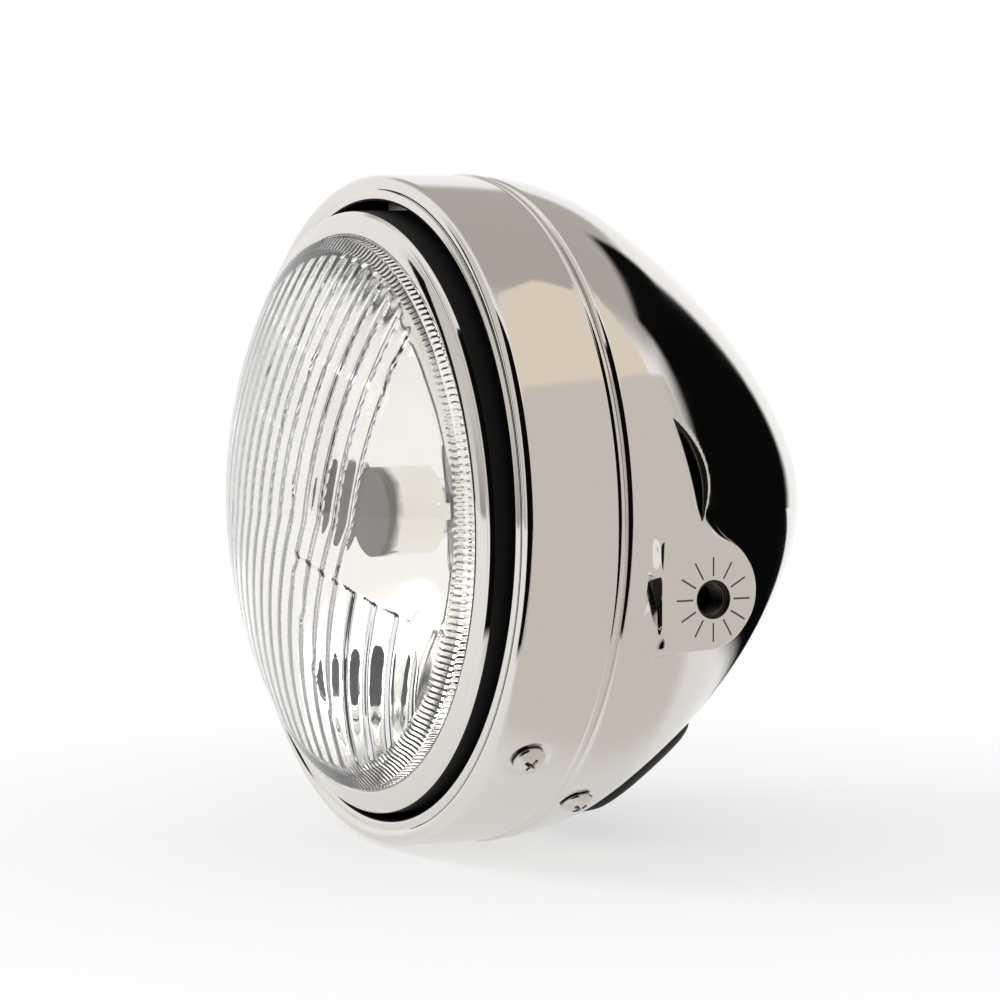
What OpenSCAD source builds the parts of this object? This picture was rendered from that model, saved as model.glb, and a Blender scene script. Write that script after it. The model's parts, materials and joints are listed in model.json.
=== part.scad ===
// Round motorcycle headlight: chromed bucket, rim and tilting lamp unit
// The lens looks along -Y, +Z is up, and the origin is the midpoint of the two side bolts' axis

/* [Mounting] */
// Distance from the rim's shoulder back to the bolt axis
bolt_back = 55.6; // [50:0.1:60]
// How far the bolt axis lies below the lamp's own axis
bolt_drop = 20; // [14:0.5:24]
// How far each flat mounting face lies inside the bucket's radius
pad_inset = 4; // [2.5:0.1:5]
// Radius of the bolt's opening in the pressed face
bolt_opening_r = 5.2; // [5.1:0.1:6]
// Inner radius of the thread in each mounting nut
bolt_thread_r = 4.25; // [4:0.05:4.6]
// Length of each mounting nut's thread
bolt_thread_length = 9; // [7:0.5:10]
// Width across the flats of each mounting nut
bolt_nut_flats = 17; // [15:0.5:18]
// Radius of the rounded end of each mounting pad
pad_r = 16; // [14.5:0.1:17]
// How far each pad reaches in front of its bolt
pad_front = 16; // [13:0.1:17]
// How far each pad reaches below its bolt
pad_below = 14; // [12:0.1:14.5]
// How far each pad reaches above its bolt
pad_above = 18; // [15:0.1:18]

/* [Bucket] */
// Outer radius of the bucket just behind the seam
shell_r = 94; // [93.6:0.1:95]
// Thickness of the bucket's sheet
shell_wall = 1; // [0.8:0.05:1.2]
// Bend radius of the bucket's shoulder as a share of the bucket's radius
shoulder_bend = 0.638; // [0.58:0.002:0.7]
// Bend radius of the bucket's long flank as a share of the bucket's radius
flank_bend = 2.19; // [2.05:0.01:2.4]
// Bend radius of the bucket's nose as a share of the bucket's radius
nose_bend = 0.223; // [0.2:0.001:0.25]
// Length of the bucket's lip inside the rim
lip_length = 19; // [17:0.5:20]
// Clearance between the bucket's lip and the rim
lip_fit = 0.3; // [0.3:0.05:0.5]

/* [Rim] */
// Width of the rim's face, from its front opening to its band
rim_face = 7.3; // [6.8:0.1:7.6]
// How far the band's shoulder lies inside the bucket's radius
band_step = 0.4; // [0.2:0.05:0.7]
// Thickness of the rim's sheet
rim_wall = 0.9; // [0.8:0.05:1]
// Length of the rim's band, from its shoulder to the seam bead
band_length = 24; // [22:0.5:26]
// Bend radius of the rim's shoulder
rim_shoulder_bend_r = 2.6; // [2.2:0.1:3]

/* [Lamp unit] */
// Width of the bright inner ring, from the glass to the ring's skirt
ring_width = 7.5; // [7:0.1:9]
// Radius of the sphere that the glass's dome follows
dome_r = 150; // [130:1:180]
// How far the dome's edge stands in front of the rim's shoulder
glass_front = 8.6; // [8:0.1:9]
// Thickness of the glass
glass_t = 3.5; // [3:0.1:4]
// Width of the glass's flange under the ring
glass_flange = 5; // [4.5:0.1:5.5]
// Spacing of the upright flutes inside the glass
flute_pitch = 6.6; // [5.5:0.1:8]
// How far each flute stands behind the plain dome
flute_t = 0.9; // [0.5:0.05:1.2]
// Gap between the inner ring and the rim's front opening
ring_gap = 2.3; // [2:0.1:2.8]
// Thickness of the inner ring's sheet
ring_wall = 0.8; // [0.7:0.05:0.9]
// How far back the inner ring's skirt reaches
skirt_back = 22; // [21:0.1:22.5]
// Focal length of the reflector
focal = 33; // [31:0.5:35]
// Thickness of the reflector's sheet
reflector_wall = 0.9; // [0.8:0.05:1.2]
// Thickness of the seal between glass and reflector
gasket_t = 1; // [0.8:0.1:1.2]
// Inner radius of the reflector's neck
neck_r = 20; // [19.5:0.1:20.5]
// Length of the reflector's neck
neck_length = 6; // [5:0.5:7]

/* [Aim] */
// Downward tilt of the lamp unit in degrees as it is set
aim = 1.15; // [-0.8:0.05:1.5]
// Distance from the rim's shoulder back to the two side pivots
pivot_back = 15; // [14.5:0.1:16]
// Radius of the pivot pins
pin_r = 2.5; // [2.2:0.1:2.8]
// Running clearance of the pins in their bushes
pin_fit = 0.05; // [0.03:0.01:0.08]
// Radius of the adjusting screw's shank
aim_screw_r = 1.9; // [1.7:0.05:1.95]
// Play between the adjusting screw's head and the bracket
aim_play = 0.3; // [0.25:0.05:0.4]
// Number of turns in the adjusting spring
spring_turns = 6; // [4:1:8]

/* [Bulb] */
// Radius of the bulb's glass
bulb_r = 8.5; // [8:0.1:9]
// Length of the bulb's glass in front of its flange
bulb_length = 42; // [38:1:45]
// Radius of the bulb's metal barrel
barrel_r = 11; // [10:0.5:12]
// Radius of the cap that shades the bulb's tip
shield_r = 12.5; // [12:0.5:13.5]
// Radius of the parking bulb's glass
pilot_r = 5; // [4.5:0.1:5.5]
// Sideways place of the parking bulb, negative to the lamp's right
pilot_x = -24; // [-28:1:28]
// How far the parking bulb lies below the lamp's axis
pilot_drop = 50; // [46:1:52]

/* [Screws] */
// Angle of the rim's screws below the level line in degrees
rim_screw_angle = 41.5; // [35:0.5:46]
// Distance of the rim's screws behind the rim's shoulder
rim_screw_back = 11; // [10.5:0.5:13]
// Angle of the bucket's screws below the level line in degrees
shell_screw_angle = 55.5; // [52:0.5:62]
// Distance of the bucket's screws behind the rim's shoulder
shell_screw_back = 35; // [34.5:0.1:35.5]
// Radius of the screws' pan heads
head_r = 4.5; // [4:0.1:5]
// Height of the screws' pan heads
head_t = 2.8; // [2.4:0.1:3.2]
// Radius of the screws' shanks
screw_r = 2.4; // [2:0.1:2.5]
// Clearance of each screw in its holes and nut
screw_fit = 0.1; // [0.05:0.01:0.2]
// Thickness of the nuts
nut_t = 3.8; // [3:0.1:4.2]
// Width of the nuts across their flats
nut_flats = 8; // [7:0.1:8.2]

/* [Wiring cover] */
// Half of the rubber cover's width across the bucket
cover_half_w = 36; // [30:1:38]
// Half of the rubber cover's length along the bucket
cover_half_l = 14; // [12:0.5:15]
// Distance from the rim's shoulder back to the middle of the cover
cover_back = 70; // [69:0.5:72]
// How far the rubber cover stands proud
cover_t = 3; // [2.5:0.1:3.5]

/* [Hidden] */
$fn = 96;
// Extra reach of a cutting solid past the face that it cuts
over = 1;
// Sweep in degrees that one straight facet of a bend stands for
bend_step = 10;

// Radii that follow from the bucket's radius, from the outside in
band_r = shell_r - band_step;
rim_lip_r = band_r - rim_face;
ring_r = rim_lip_r - ring_gap;
glass_r = ring_r - ring_width;
bolt_face = shell_r - pad_inset;
shoulder_bend_r = shoulder_bend * shell_r;
flank_bend_r = flank_bend * shell_r;
nose_bend_r = nose_bend * shell_r;

// Bend angles of the bucket's outline, which together turn it from the band to the flat back
shell_start_turn = 3;
shoulder_turn = 26;
flank_turn = 24;
nose_turn = 90 - shell_start_turn - shoulder_turn - flank_turn;

// The rim's beaded lip, its groove and its seam bead
lip_bead_r = 1.2;
lip_bead_front = 2.1;
lip_bead_depth = 4.4;
groove_r = 0.8;
seam_bead_r = 1.2;
seam_blend_r = 0.5;
seam_turn = 50;
lip_turn = 120;
groove_turn = 60;
band_turn = 5;
band_start_turn = 3;

// The joggle that steps the bucket's lip in under the rim
joggle_r = 1.5;
joggle_turn = 45;
joggle_lead = 0.5;

// The inner ring's beaded edge, convex band, step and skirt
edge_bead_r = 1.2;
edge_run = 0.9;
edge_gap = 0.4;
band_bend_r = 10;
ring_slope = 35;
ring_corner_r = 1.2;

// The reflector's seat for the bulb's flange
seat_r = 25;
seat_hole_r = 19;
bulb_flange_r = 21.5;
bulb_flange_t = 1.2;

// The carrier ring inside the bucket's mouth
carrier_wall = 0.8;
carrier_fit = 0.2;
carrier_front = 28;
carrier_back = 40;
carrier_inner_r = ring_r + 0.8;
ear_half_w = 8;
ear_front = 8.5;
ear_t = 1;
ear_gap = 2.3;
pin_head_r = 4.5;
pin_head_t = 1.6;
bush_r = 4;
bush_flange_r = 5.5;
bush_flange_t = 1.2;
bush_inset = 4;

// The adjuster at the top of the lamp unit
aim_head_r = 3.2;
aim_head_t = 2.4;
bracket_t = 1.2;
bracket_front = 12;
bracket_half_w = 13;
bracket_foot_inner = 8;
bracket_foot_t = 0.8;
bracket_gap = 0.8;
spring_wire_r = 0.35;
spring_coil_r = 2.75;
aim_nut_t = 3.2;
aim_nut_flats = 6.6;

// Direction at a heading, where 0 runs to the back and 90 runs in to the lamp's axis
function ahead(a) = [-sin(a), cos(a)];
function aside(a) = ahead(a + 90);

// Outline of a pressed sheet in radius and depth, from bends of straight run, radius and angle,
// at a distance t to the hidden side
function sheet(p, a, bends, t, i = 0) =
    i == len(bends) ? [p + t * aside(a)] :
    let (
        rho = bends[i][1] * sign(bends[i][2]),
        turn = bends[i][2],
        q = p + bends[i][0] * ahead(a),
        n = max(1, ceil(abs(turn) / bend_step)),
        start = bends[i][0] > 0 ? [p + t * aside(a)] : [],
        arc = turn == 0 ? [] : [for (k = [0:n - 1]) let (b = a + turn * k / n)
            q + rho * aside(a) - rho * aside(b) + t * aside(b)]
    )
    concat(start, arc, sheet(q + rho * aside(a) - rho * aside(a + turn), a + turn, bends, t, i + 1));

function reversed(list) = [for (i = [len(list) - 1:-1:0]) list[i]];
function last(list) = list[len(list) - 1];

// Closed section of a sheet with its wall
function section(p, a, bends, wall) =
    concat(sheet(p, a, bends, 0), reversed(sheet(p, a, bends, wall)));

// Rim: from the lip's hidden end forward, over the lip and the shoulder, and back to the seam
rim_start = [rim_lip_r, lip_bead_depth + lip_bead_r - lip_bead_front];
function rim_bends(run) = [
    [lip_bead_depth, lip_bead_r, lip_turn],
    [run, groove_r, -groove_turn],
    [0.2, rim_shoulder_bend_r, 180 - lip_turn + groove_turn - band_start_turn],
    [0, band_length / sin(band_turn), band_turn],
    [0, seam_blend_r, -seam_turn],
    [0, seam_bead_r, 2 * seam_turn],
    [0, seam_blend_r, -seam_turn]
];
function head_of(list, n) = [for (i = [0:n - 1]) list[i]];
rim_slope_run = (band_r - last(sheet(rim_start, 180, head_of(rim_bends(0), 3), 0))[0]) / sin(lip_turn);
rim_path = rim_bends(max(0.1, rim_slope_run));
seam_back = last(sheet(rim_start, 180, rim_path, 0))[1];

// Bucket: from the mouth of its lip, out over the joggle and round to the flat back
lip_r = band_r - rim_wall - lip_fit;
joggle_back = seam_back - joggle_lead;
lip_front = joggle_back - lip_length;
joggle_run = (shell_r - lip_r - 2 * joggle_r * (1 - cos(joggle_turn))) / sin(joggle_turn);
shell_start = [lip_r, lip_front];
shell_bends = [
    [lip_length, joggle_r, -joggle_turn],
    [max(0.1, joggle_run), joggle_r, joggle_turn + shell_start_turn],
    [0, shoulder_bend_r, shoulder_turn],
    [0, flank_bend_r, flank_turn],
    [0, nose_bend_r, nose_turn]
];
shell_back = last(sheet(shell_start, 0, shell_bends, 0))[1];
lip_inner_r = lip_r - shell_wall;

// Solid outline of the bucket at a distance t inside its outer face
function bucket_outline(t, front) =
    concat([[0, front], [lip_r - t, front]], sheet(shell_start, 0, shell_bends, t), [[0, shell_back - t]]);

// Inner ring: from its folded edge at the glass, over the band and the slope, and back along the skirt
ring_start = [glass_r + edge_gap, edge_bead_r + edge_run - glass_front - 0.3];
ring_core = [
    [edge_run, edge_bead_r, 100],
    [0, band_bend_r, 22],
    [0, 0.6, -32],
    [0, ring_corner_r, 90 - ring_slope]
];
ring_core_end = last(sheet(ring_start, 180, ring_core, 0));
ring_slope_run = (ring_r - ring_core_end[0] - ring_corner_r * (1 - cos(ring_slope))) / sin(ring_slope);
ring_front_path = concat(ring_core, [[ring_slope_run, ring_corner_r, ring_slope]]);
ring_front_end = last(sheet(ring_start, 180, ring_front_path, 0));
ring_path = concat(ring_front_path, [[skirt_back - ring_front_end[1], 0, 0]]);

// Glass, seal and reflector, stacked from front to back
dome_centre = dome_r * cos(asin(glass_r / dome_r)) - glass_front;
dome_inner_r = dome_r - glass_t;
flange_front = ring_start[1] + edge_gap;
flange_back = flange_front + glass_t + 1;
flange_r = glass_r + glass_flange;
step_r = glass_r - glass_t + 1;
reflector_front = flange_back + gasket_t;
bowl_r = glass_r - 0.5;
bowl_back = reflector_front + bowl_r * bowl_r / (4 * focal);
function bowl_depth(r) = bowl_back - r * r / (4 * focal);
neck_front = bowl_depth(neck_r);
neck_back = neck_front + neck_length;

// Points on the reflector's curve, at a distance t behind its bright face
bowl_steps = 16;
function bowl_curve(t) = [for (i = [0:bowl_steps])
    let (r = neck_r + (bowl_r - neck_r) * i / bowl_steps, slope = atan(r / (2 * focal)))
    [r + t * sin(slope), bowl_depth(r) + t * cos(slope)]];

// The pilot bulb's seat in the bowl
pilot_dist = norm([pilot_x, pilot_drop]);
pilot_seat = bowl_depth(pilot_dist);

// Aim geometry: where a point of the lamp unit lies once the unit is tilted
function tilted_back(y, z) = pivot_back + (y - pivot_back) * cos(aim) - z * sin(aim);
aim_screw_z = (ring_r + lip_inner_r) / 2;
bracket_rest_front = tilted_back(bracket_front, aim_screw_z);
bracket_rest_back = tilted_back(bracket_front + bracket_t, aim_screw_z);

// Carrier ring and its ears
carrier_r = lip_inner_r - carrier_fit;
ear_x = ring_r + bush_flange_t + ear_gap;
band_inner_r = carrier_r - carrier_wall;

// Puts children given in the lamp's own frame, whose axis runs along Y, into place
module lamp() {
    translate([0, -bolt_back, bolt_drop]) children();
}

// Tilts the lamp unit about its two side pivots
module unit() {
    lamp() translate([0, pivot_back, 0]) rotate([aim, 0, 0]) translate([0, -pivot_back, 0]) children();
}

// Revolves an outline of radius and depth about the lamp's axis
module revolve(points) {
    rotate([-90, 0, 0]) rotate_extrude() polygon(points);
}

// Cylinder along the lamp's axis between two depths
module disc(r, front, back) {
    translate([0, front, 0]) rotate([-90, 0, 0]) cylinder(r = r, h = back - front);
}

// Places children with +Z pointing out of the lamp at an angle above the level line
module radial(angle, back) {
    translate([0, back, 0]) rotate([0, 90 - angle, 0]) children();
}

// Plate with rounded corners, flat on XY
module rounded_plate(half_w, half_l, corner, t) {
    linear_extrude(height = t) {
        square([2 * half_w, 2 * (half_l - corner)], center = true);
        square([2 * (half_w - corner), 2 * half_l], center = true);
        for (x = [-1, 1], y = [-1, 1])
            translate([x * (half_w - corner), y * (half_l - corner)]) circle(r = corner);
    }
}

// Hexagonal nut along +Z with its bore
module hex_nut(flats, t, bore_r) {
    difference() {
        cylinder(r = flats / 2 / cos(30), h = t, $fn = 6);
        translate([0, 0, -over]) cylinder(r = bore_r, h = t + 2 * over);
    }
}

// Pan head with a cross recess, its seat at z = 0, and a shank that runs down from it
module pan_screw(r, t, shank_r, length) {
    recess_w = 0.3 * r;
    difference() {
        intersection() {
            cylinder(r = r, h = t);
            translate([0, 0, t - 1.6 * r]) sphere(r = 1.6 * r);
        }
        for (turn = [0, 90])
            rotate([0, 0, turn]) translate([-0.55 * r, -recess_w / 2, t * 0.45])
                cube([1.1 * r, recess_w, t]);
    }
    translate([0, 0, -length]) cylinder(r = shank_r, h = length + 0.01);
}

// Outline of a mounting pad in the plane of its face, with the bolt at the middle
module pad_outline(inset) {
    intersection() {
        union() {
            translate([-2, 2]) circle(r = pad_r - inset);
            translate([-pad_front + inset, -pad_below + inset])
                square([pad_front - inset, pad_below + pad_above * 0.6 - inset]);
        }
        translate([-pad_front + inset, -pad_below + inset])
            square([pad_front + pad_r + 4 - inset, pad_below + pad_above - 2 * inset]);
    }
}

// Prism of a pad's outline on one side, between two distances from the middle
module pad_prism(side, near, far, inset) {
    translate([side > 0 ? near : -far, 0, 0])
        rotate([90, 0, 90]) linear_extrude(height = far - near) pad_outline(inset);
}

module both_pads(near, far, inset) {
    for (side = [-1, 1]) pad_prism(side, near, far, inset);
}

// Solid between two distances from the bucket's outer face, over the cover's outline
module cover_layer(t_out, t_in, inset, corner) {
    intersection() {
        difference() {
            revolve(bucket_outline(t_out, lip_front));
            revolve(bucket_outline(t_in, lip_front - over));
        }
        translate([0, cover_back, -shell_r - 2 * over])
            rounded_plate(cover_half_w - inset, cover_half_l - inset, corner, shell_r);
    }
}

// Reach of the hole and the inner flange inside the cover's outline, and the corners of each
cover_hole_inset = 6;
cover_flange_inset = 3.5;
cover_corner_r = 8;
cover_hole_corner_r = 6;
cover_hole_fit = 0.3;

module shell() {
    color("silver") difference() {
        union() {
            lamp() revolve(bucket_outline(0, lip_front));
            both_pads(shell_r * 0.7, bolt_face, 0);
        }
        both_pads(bolt_face, shell_r + over, 0);
        difference() {
            lamp() revolve(bucket_outline(shell_wall, lip_front - over));
            both_pads(bolt_face - shell_wall, shell_r + over, 0);
        }
        both_pads(shell_r * 0.7 - over, bolt_face - shell_wall, shell_wall);
        for (side = [-1, 1])
            translate([side * bolt_face, 0, 0]) rotate([0, 90, 0])
                cylinder(r = bolt_opening_r, h = 6 * shell_wall, center = true);
        lamp() {
            for (angle = [-rim_screw_angle, rim_screw_angle - 180])
                radial(angle, rim_screw_back) cylinder(r = screw_r + screw_fit, h = shell_r);
            for (angle = [-shell_screw_angle, shell_screw_angle - 180]) radial(angle, shell_screw_back) {
                cylinder(r = screw_r + screw_fit, h = shell_r);
                translate([0, 0, screw_seat_r]) cylinder(r = head_r + 1, h = 3 * over);
            }
            translate([0, cover_back, -shell_r])
                rounded_plate(cover_half_w - cover_hole_inset, cover_half_l - cover_hole_inset,
                    cover_hole_corner_r, shell_r);
        }
    }
}

// Radius of the flat that each of the bucket's screws seats on
screw_seat_r = shell_r - 0.55 * shell_wall;
// Radius of the floor of each dimple in the rim's band
dimple_r = band_r - 0.3;
dimple_half = head_r + 1.6;

module rim() {
    color("silver") lamp() difference() {
        union() {
            revolve(section(rim_start, 180, rim_path, rim_wall));
            for (angle = [-rim_screw_angle, rim_screw_angle - 180]) intersection() {
                radial(angle, rim_screw_back) cylinder(r = dimple_half + 0.8, h = shell_r);
                difference() {
                    disc(band_r - 0.2, rim_screw_back - dimple_half - over,
                        rim_screw_back + dimple_half + 3);
                    disc(lip_r + 0.05, 0, band_length);
                }
            }
        }
        for (angle = [-rim_screw_angle, rim_screw_angle - 180]) radial(angle, rim_screw_back) {
            cylinder(r = screw_r + screw_fit, h = shell_r + over);
            translate([0, 0, dimple_r]) cylinder(r = dimple_half, h = 4 * over);
        }
    }
}

module unit_ring() {
    color("silver") unit() difference() {
        revolve(section(ring_start, 180, ring_path, ring_wall));
        translate([0, pivot_back, 0]) rotate([0, 90, 0]) cylinder(r = bush_r, h = 3 * ring_r, center = true);
    }
}

// Arc of the dome from its middle to a radius, seen in radius and depth
dome_steps = 20;
function dome_arc(sphere_r, reach) = [for (i = [0:dome_steps])
    let (a = asin(reach / sphere_r) * i / dome_steps) [sphere_r * sin(a), dome_centre - sphere_r * cos(a)]];

// Line of the fluted back as distance from the dome's middle along X and radius about X
flute_cuts = 3;
field_r = step_r - 5;
function fluted_radius(x) =
    let (share = x / flute_pitch - floor(x / flute_pitch) - 0.5)
    sqrt(dome_inner_r * dome_inner_r - x * x) - flute_t * (1 - 4 * share * share);
flute_line = [for (k = [-ceil(field_r / flute_pitch) * flute_cuts:ceil(field_r / flute_pitch) * flute_cuts])
    let (x = k * flute_pitch / flute_cuts) [x, fluted_radius(x)]];

module lens() {
    color([0.85, 0.9, 0.92, 0.4]) unit() difference() {
        revolve(concat(
            dome_arc(dome_r, glass_r),
            [[glass_r, flange_front], [flange_r, flange_front], [flange_r, flange_back],
            [step_r, flange_back], [field_r, flange_back - 6], [0, flange_back - 6]]
        ));
        intersection() {
            disc(field_r, dome_centre - dome_r, flange_back);
            translate([0, dome_centre, 0]) rotate([0, 90, 0]) rotate([0, 0, 90]) rotate_extrude()
                polygon(concat([[0, last(flute_line)[0]], [0, flute_line[0][0]]],
                    [for (p = flute_line) [p[1], p[0]]]));
        }
    }
}

module lens_gasket() {
    color("dimgray") unit() difference() {
        disc(flange_r, flange_back, reflector_front);
        disc(glass_r + 1, flange_back - over, reflector_front + over);
    }
}

module reflector() {
    color("gainsboro") unit() difference() {
        revolve(concat(
            bowl_curve(0),
            [[flange_r, reflector_front], [flange_r, reflector_front + reflector_wall],
            [bowl_r + 0.6 * reflector_wall, reflector_front + reflector_wall]],
            reversed([for (p = bowl_curve(reflector_wall)) if (p[1] > reflector_front + reflector_wall) p]),
            [[neck_r + reflector_wall, neck_back], [seat_r, neck_back],
            [seat_r, neck_back + reflector_wall], [seat_hole_r, neck_back + reflector_wall],
            [seat_hole_r, neck_back], [neck_r, neck_back]]
        ));
        translate([pilot_x, pilot_seat, -pilot_drop]) rotate([90, 0, 0])
            cylinder(r = pilot_r + 1.5, h = 60, center = true);
    }
}

// Spring clips that press the reflector's flange forward and grip the skirt from inside
module unit_clips() {
    clip_half_w = 5;
    clip_t = 0.8;
    seat = reflector_front + reflector_wall;
    inner = ring_r - ring_wall;
    color("lightgray") unit() for (angle = [38, 90, 142, 218, 270, 322])
        rotate([0, -angle, 0]) translate([0, 0, -clip_half_w]) linear_extrude(height = 2 * clip_half_w)
            polygon([
                [flange_r - 3, seat], [inner - 0.3, seat + 3], [inner - 0.3, seat + 10],
                [inner - 0.3 - clip_t, seat + 10], [inner - 0.3 - clip_t, seat + 3 + clip_t],
                [flange_r - 3, seat + clip_t]
            ]);
}

bulb_tip = neck_back - bulb_length;
flange_seat = neck_back + reflector_wall;

module bulb_glass() {
    color([0.95, 0.95, 0.95, 0.5]) unit() {
        disc(bulb_r, bulb_tip + bulb_r, flange_seat);
        translate([0, bulb_tip + bulb_r, 0]) intersection() {
            sphere(r = bulb_r);
            translate([-bulb_r, -2 * bulb_r, -bulb_r]) cube(2 * bulb_r);
        }
    }
}

barrel_length = 14;
blade_w = 8;
blade_t = 0.8;
blade_length = 9;

module bulb_base() {
    color("silver") unit() {
        disc(bulb_flange_r, flange_seat, flange_seat + bulb_flange_t);
        disc(barrel_r, flange_seat, flange_seat + barrel_length);
        translate([0, flange_seat + barrel_length + blade_length / 2 - 0.5, 0]) {
            for (side = [-1, 1]) translate([side * 0.55 * barrel_r, 0, 0])
                cube([blade_t, blade_length + 1, blade_w], center = true);
            translate([0, 0, 0.55 * barrel_r]) cube([blade_w, blade_length + 1, blade_t], center = true);
        }
    }
}

module bulb_clip() {
    wire_r = 0.7;
    bail_r = 16;
    color("silver") unit() translate([0, flange_seat + bulb_flange_t + wire_r, 0]) {
        rotate([-90, 0, 0]) rotate_extrude(angle = 180) translate([bail_r, 0]) circle(r = wire_r, $fn = 24);
        for (side = [-1, 1]) translate([side * bail_r, 0, 0]) cylinder(r = wire_r, h = bail_r, $fn = 24);
    }
}

shield_t = 0.6;
shield_depth = 17;
shield_front = bulb_tip - 5;
leg_front = shield_front + shield_depth - 2;

// Cap in front of the bulb on two legs that stand on the bulb's seat
module bulb_shield() {
    color("gray") unit() {
        difference() {
            disc(shield_r, shield_front, shield_front + shield_depth);
            disc(shield_r - shield_t, shield_front + shield_t, shield_front + shield_depth + over);
        }
        for (side = [-1, 1])
            translate([side * (shield_r - shield_t / 2) - shield_t / 2, leg_front, -2.5])
                cube([shield_t, flange_seat - leg_front, 5]);
    }
}

// Rubber boot: lip over the bulb's seat, a slope and a collar on the bulb's barrel
module dust_boot() {
    boot_t = 1.8;
    grip = seat_r + 0.2;
    collar = barrel_r + 0.1;
    front = neck_back - 3;
    middle = flange_seat + 5;
    back = flange_seat + barrel_length - 1;
    color("dimgray") unit() difference() {
        revolve([
            [neck_r + reflector_wall + 0.4, front], [grip + boot_t, front], [grip + boot_t, middle],
            [collar + boot_t, back - 3], [collar + boot_t, back], [collar, back], [collar, back - 4],
            [grip, middle - boot_t], [grip, neck_back - 0.4],
            [neck_r + reflector_wall + 0.4, neck_back - 0.4]
        ]);
    }
}

pilot_length = 15;

module pilot_bulb() {
    front = pilot_seat - pilot_length + pilot_r;
    color([0.95, 0.95, 0.95, 0.5]) unit() translate([pilot_x, front, -pilot_drop]) {
        disc(pilot_r, 0, pilot_length);
        intersection() {
            sphere(r = pilot_r);
            translate([-pilot_r, -2 * pilot_r, -pilot_r]) cube(2 * pilot_r);
        }
    }
}

module pilot_socket() {
    socket_r = pilot_r + 1.2;
    front = pilot_seat - 6;
    color("dimgray") unit() translate([pilot_x, 0, -pilot_drop]) difference() {
        union() {
            disc(socket_r, front, pilot_seat + 18);
            disc(socket_r + 3, pilot_seat + 11, pilot_seat + 14);
        }
        disc(pilot_r + 0.1, front - over, pilot_seat + pilot_r + 0.1);
    }
}

// Plate welded on the skirt, with a slot for the adjusting screw
module aim_bracket() {
    top = lip_inner_r;
    color("silver") unit() difference() {
        union() {
            intersection() {
                translate([-bracket_half_w, bracket_front, ring_r * 0.9])
                    cube([2 * bracket_half_w, bracket_t, top - ring_r * 0.9]);
                disc(lip_inner_r - bracket_gap, bracket_front - over, bracket_front + 2 * over);
            }
            intersection() {
                disc(ring_r + bracket_foot_t, bracket_front, skirt_back);
                for (side = [-1, 1]) translate([side > 0 ? bracket_foot_inner : -bracket_half_w, 0, 0])
                    cube([bracket_half_w - bracket_foot_inner, 3 * skirt_back, 2 * ring_r]);
            }
        }
        disc(ring_r, 0, 3 * skirt_back);
        translate([0, 0, aim_screw_z]) disc(aim_screw_r + 0.5, 0, 3 * skirt_back);
    }
}

module pivot_bushes() {
    color("ivory") unit() for (side = [-1, 1]) mirror([side < 0 ? 1 : 0, 0, 0])
        translate([ring_r, pivot_back, 0]) rotate([0, 90, 0]) difference() {
            union() {
                translate([0, 0, -bush_inset]) cylinder(r = bush_r, h = bush_inset + bush_flange_t);
                translate([0, 0, 0.1]) cylinder(r = bush_flange_r, h = bush_flange_t);
            }
            translate([0, 0, -bush_inset - over]) cylinder(r = pin_r + pin_fit, h = 4 * bush_inset);
        }
}

module carrier() {
    color("gray") lamp() difference() {
        union() {
            difference() {
                disc(carrier_r, carrier_front, carrier_back);
                disc(band_inner_r, carrier_front + carrier_wall, carrier_back + over);
                disc(carrier_inner_r, carrier_front - over, carrier_back);
            }
            for (side = [-1, 1]) translate([side * (ear_x + ear_t / 2), 0, 0])
                translate([-ear_t / 2, ear_front, -ear_half_w])
                    cube([ear_t, carrier_front - ear_front + carrier_wall, 2 * ear_half_w]);
            for (angle = [-shell_screw_angle, shell_screw_angle - 180]) intersection() {
                radial(angle, shell_screw_back) cylinder(r = 5, h = shell_r);
                difference() {
                    disc(shell_r, carrier_front, carrier_back);
                    disc(band_inner_r, carrier_front - over, carrier_back + over);
                }
                revolve(bucket_outline(shell_wall + 0.25, lip_front));
            }
        }
        for (side = [-1, 1]) translate([side * ear_x, pivot_back, 0]) rotate([0, 90, 0])
            cylinder(r = pin_r + pin_fit, h = 10, center = true);
        for (angle = [-shell_screw_angle, shell_screw_angle - 180])
            radial(angle, shell_screw_back) cylinder(r = screw_r + screw_fit, h = shell_r);
        translate([0, 0, aim_screw_z]) disc(aim_screw_r + 0.5, 0, shell_back);
        translate([-6, carrier_front + carrier_wall, aim_screw_z - aim_nut_flats])
            cube([12, carrier_back, shell_r]);
    }
}

module pivot_pins() {
    tip = ring_r - bush_inset + 0.5;
    color("silver") lamp() for (side = [-1, 1]) mirror([side < 0 ? 1 : 0, 0, 0])
        translate([0, pivot_back, 0]) rotate([0, 90, 0]) {
            translate([0, 0, tip]) cylinder(r = pin_r, h = ear_x + ear_t - tip);
            translate([0, 0, ear_x - ear_gap + 0.5]) cylinder(r = pin_r + 1, h = ear_gap - 0.5);
            translate([0, 0, ear_x + ear_t]) cylinder(r = pin_head_r, h = pin_head_t);
        }
}

module aim_screw() {
    seat = bracket_rest_front - aim_play;
    color("silver") lamp() translate([0, seat, aim_screw_z]) rotate([90, 0, 0])
        pan_screw(aim_head_r, aim_head_t, aim_screw_r, carrier_front + aim_nut_t + 6 - seat);
}

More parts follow.
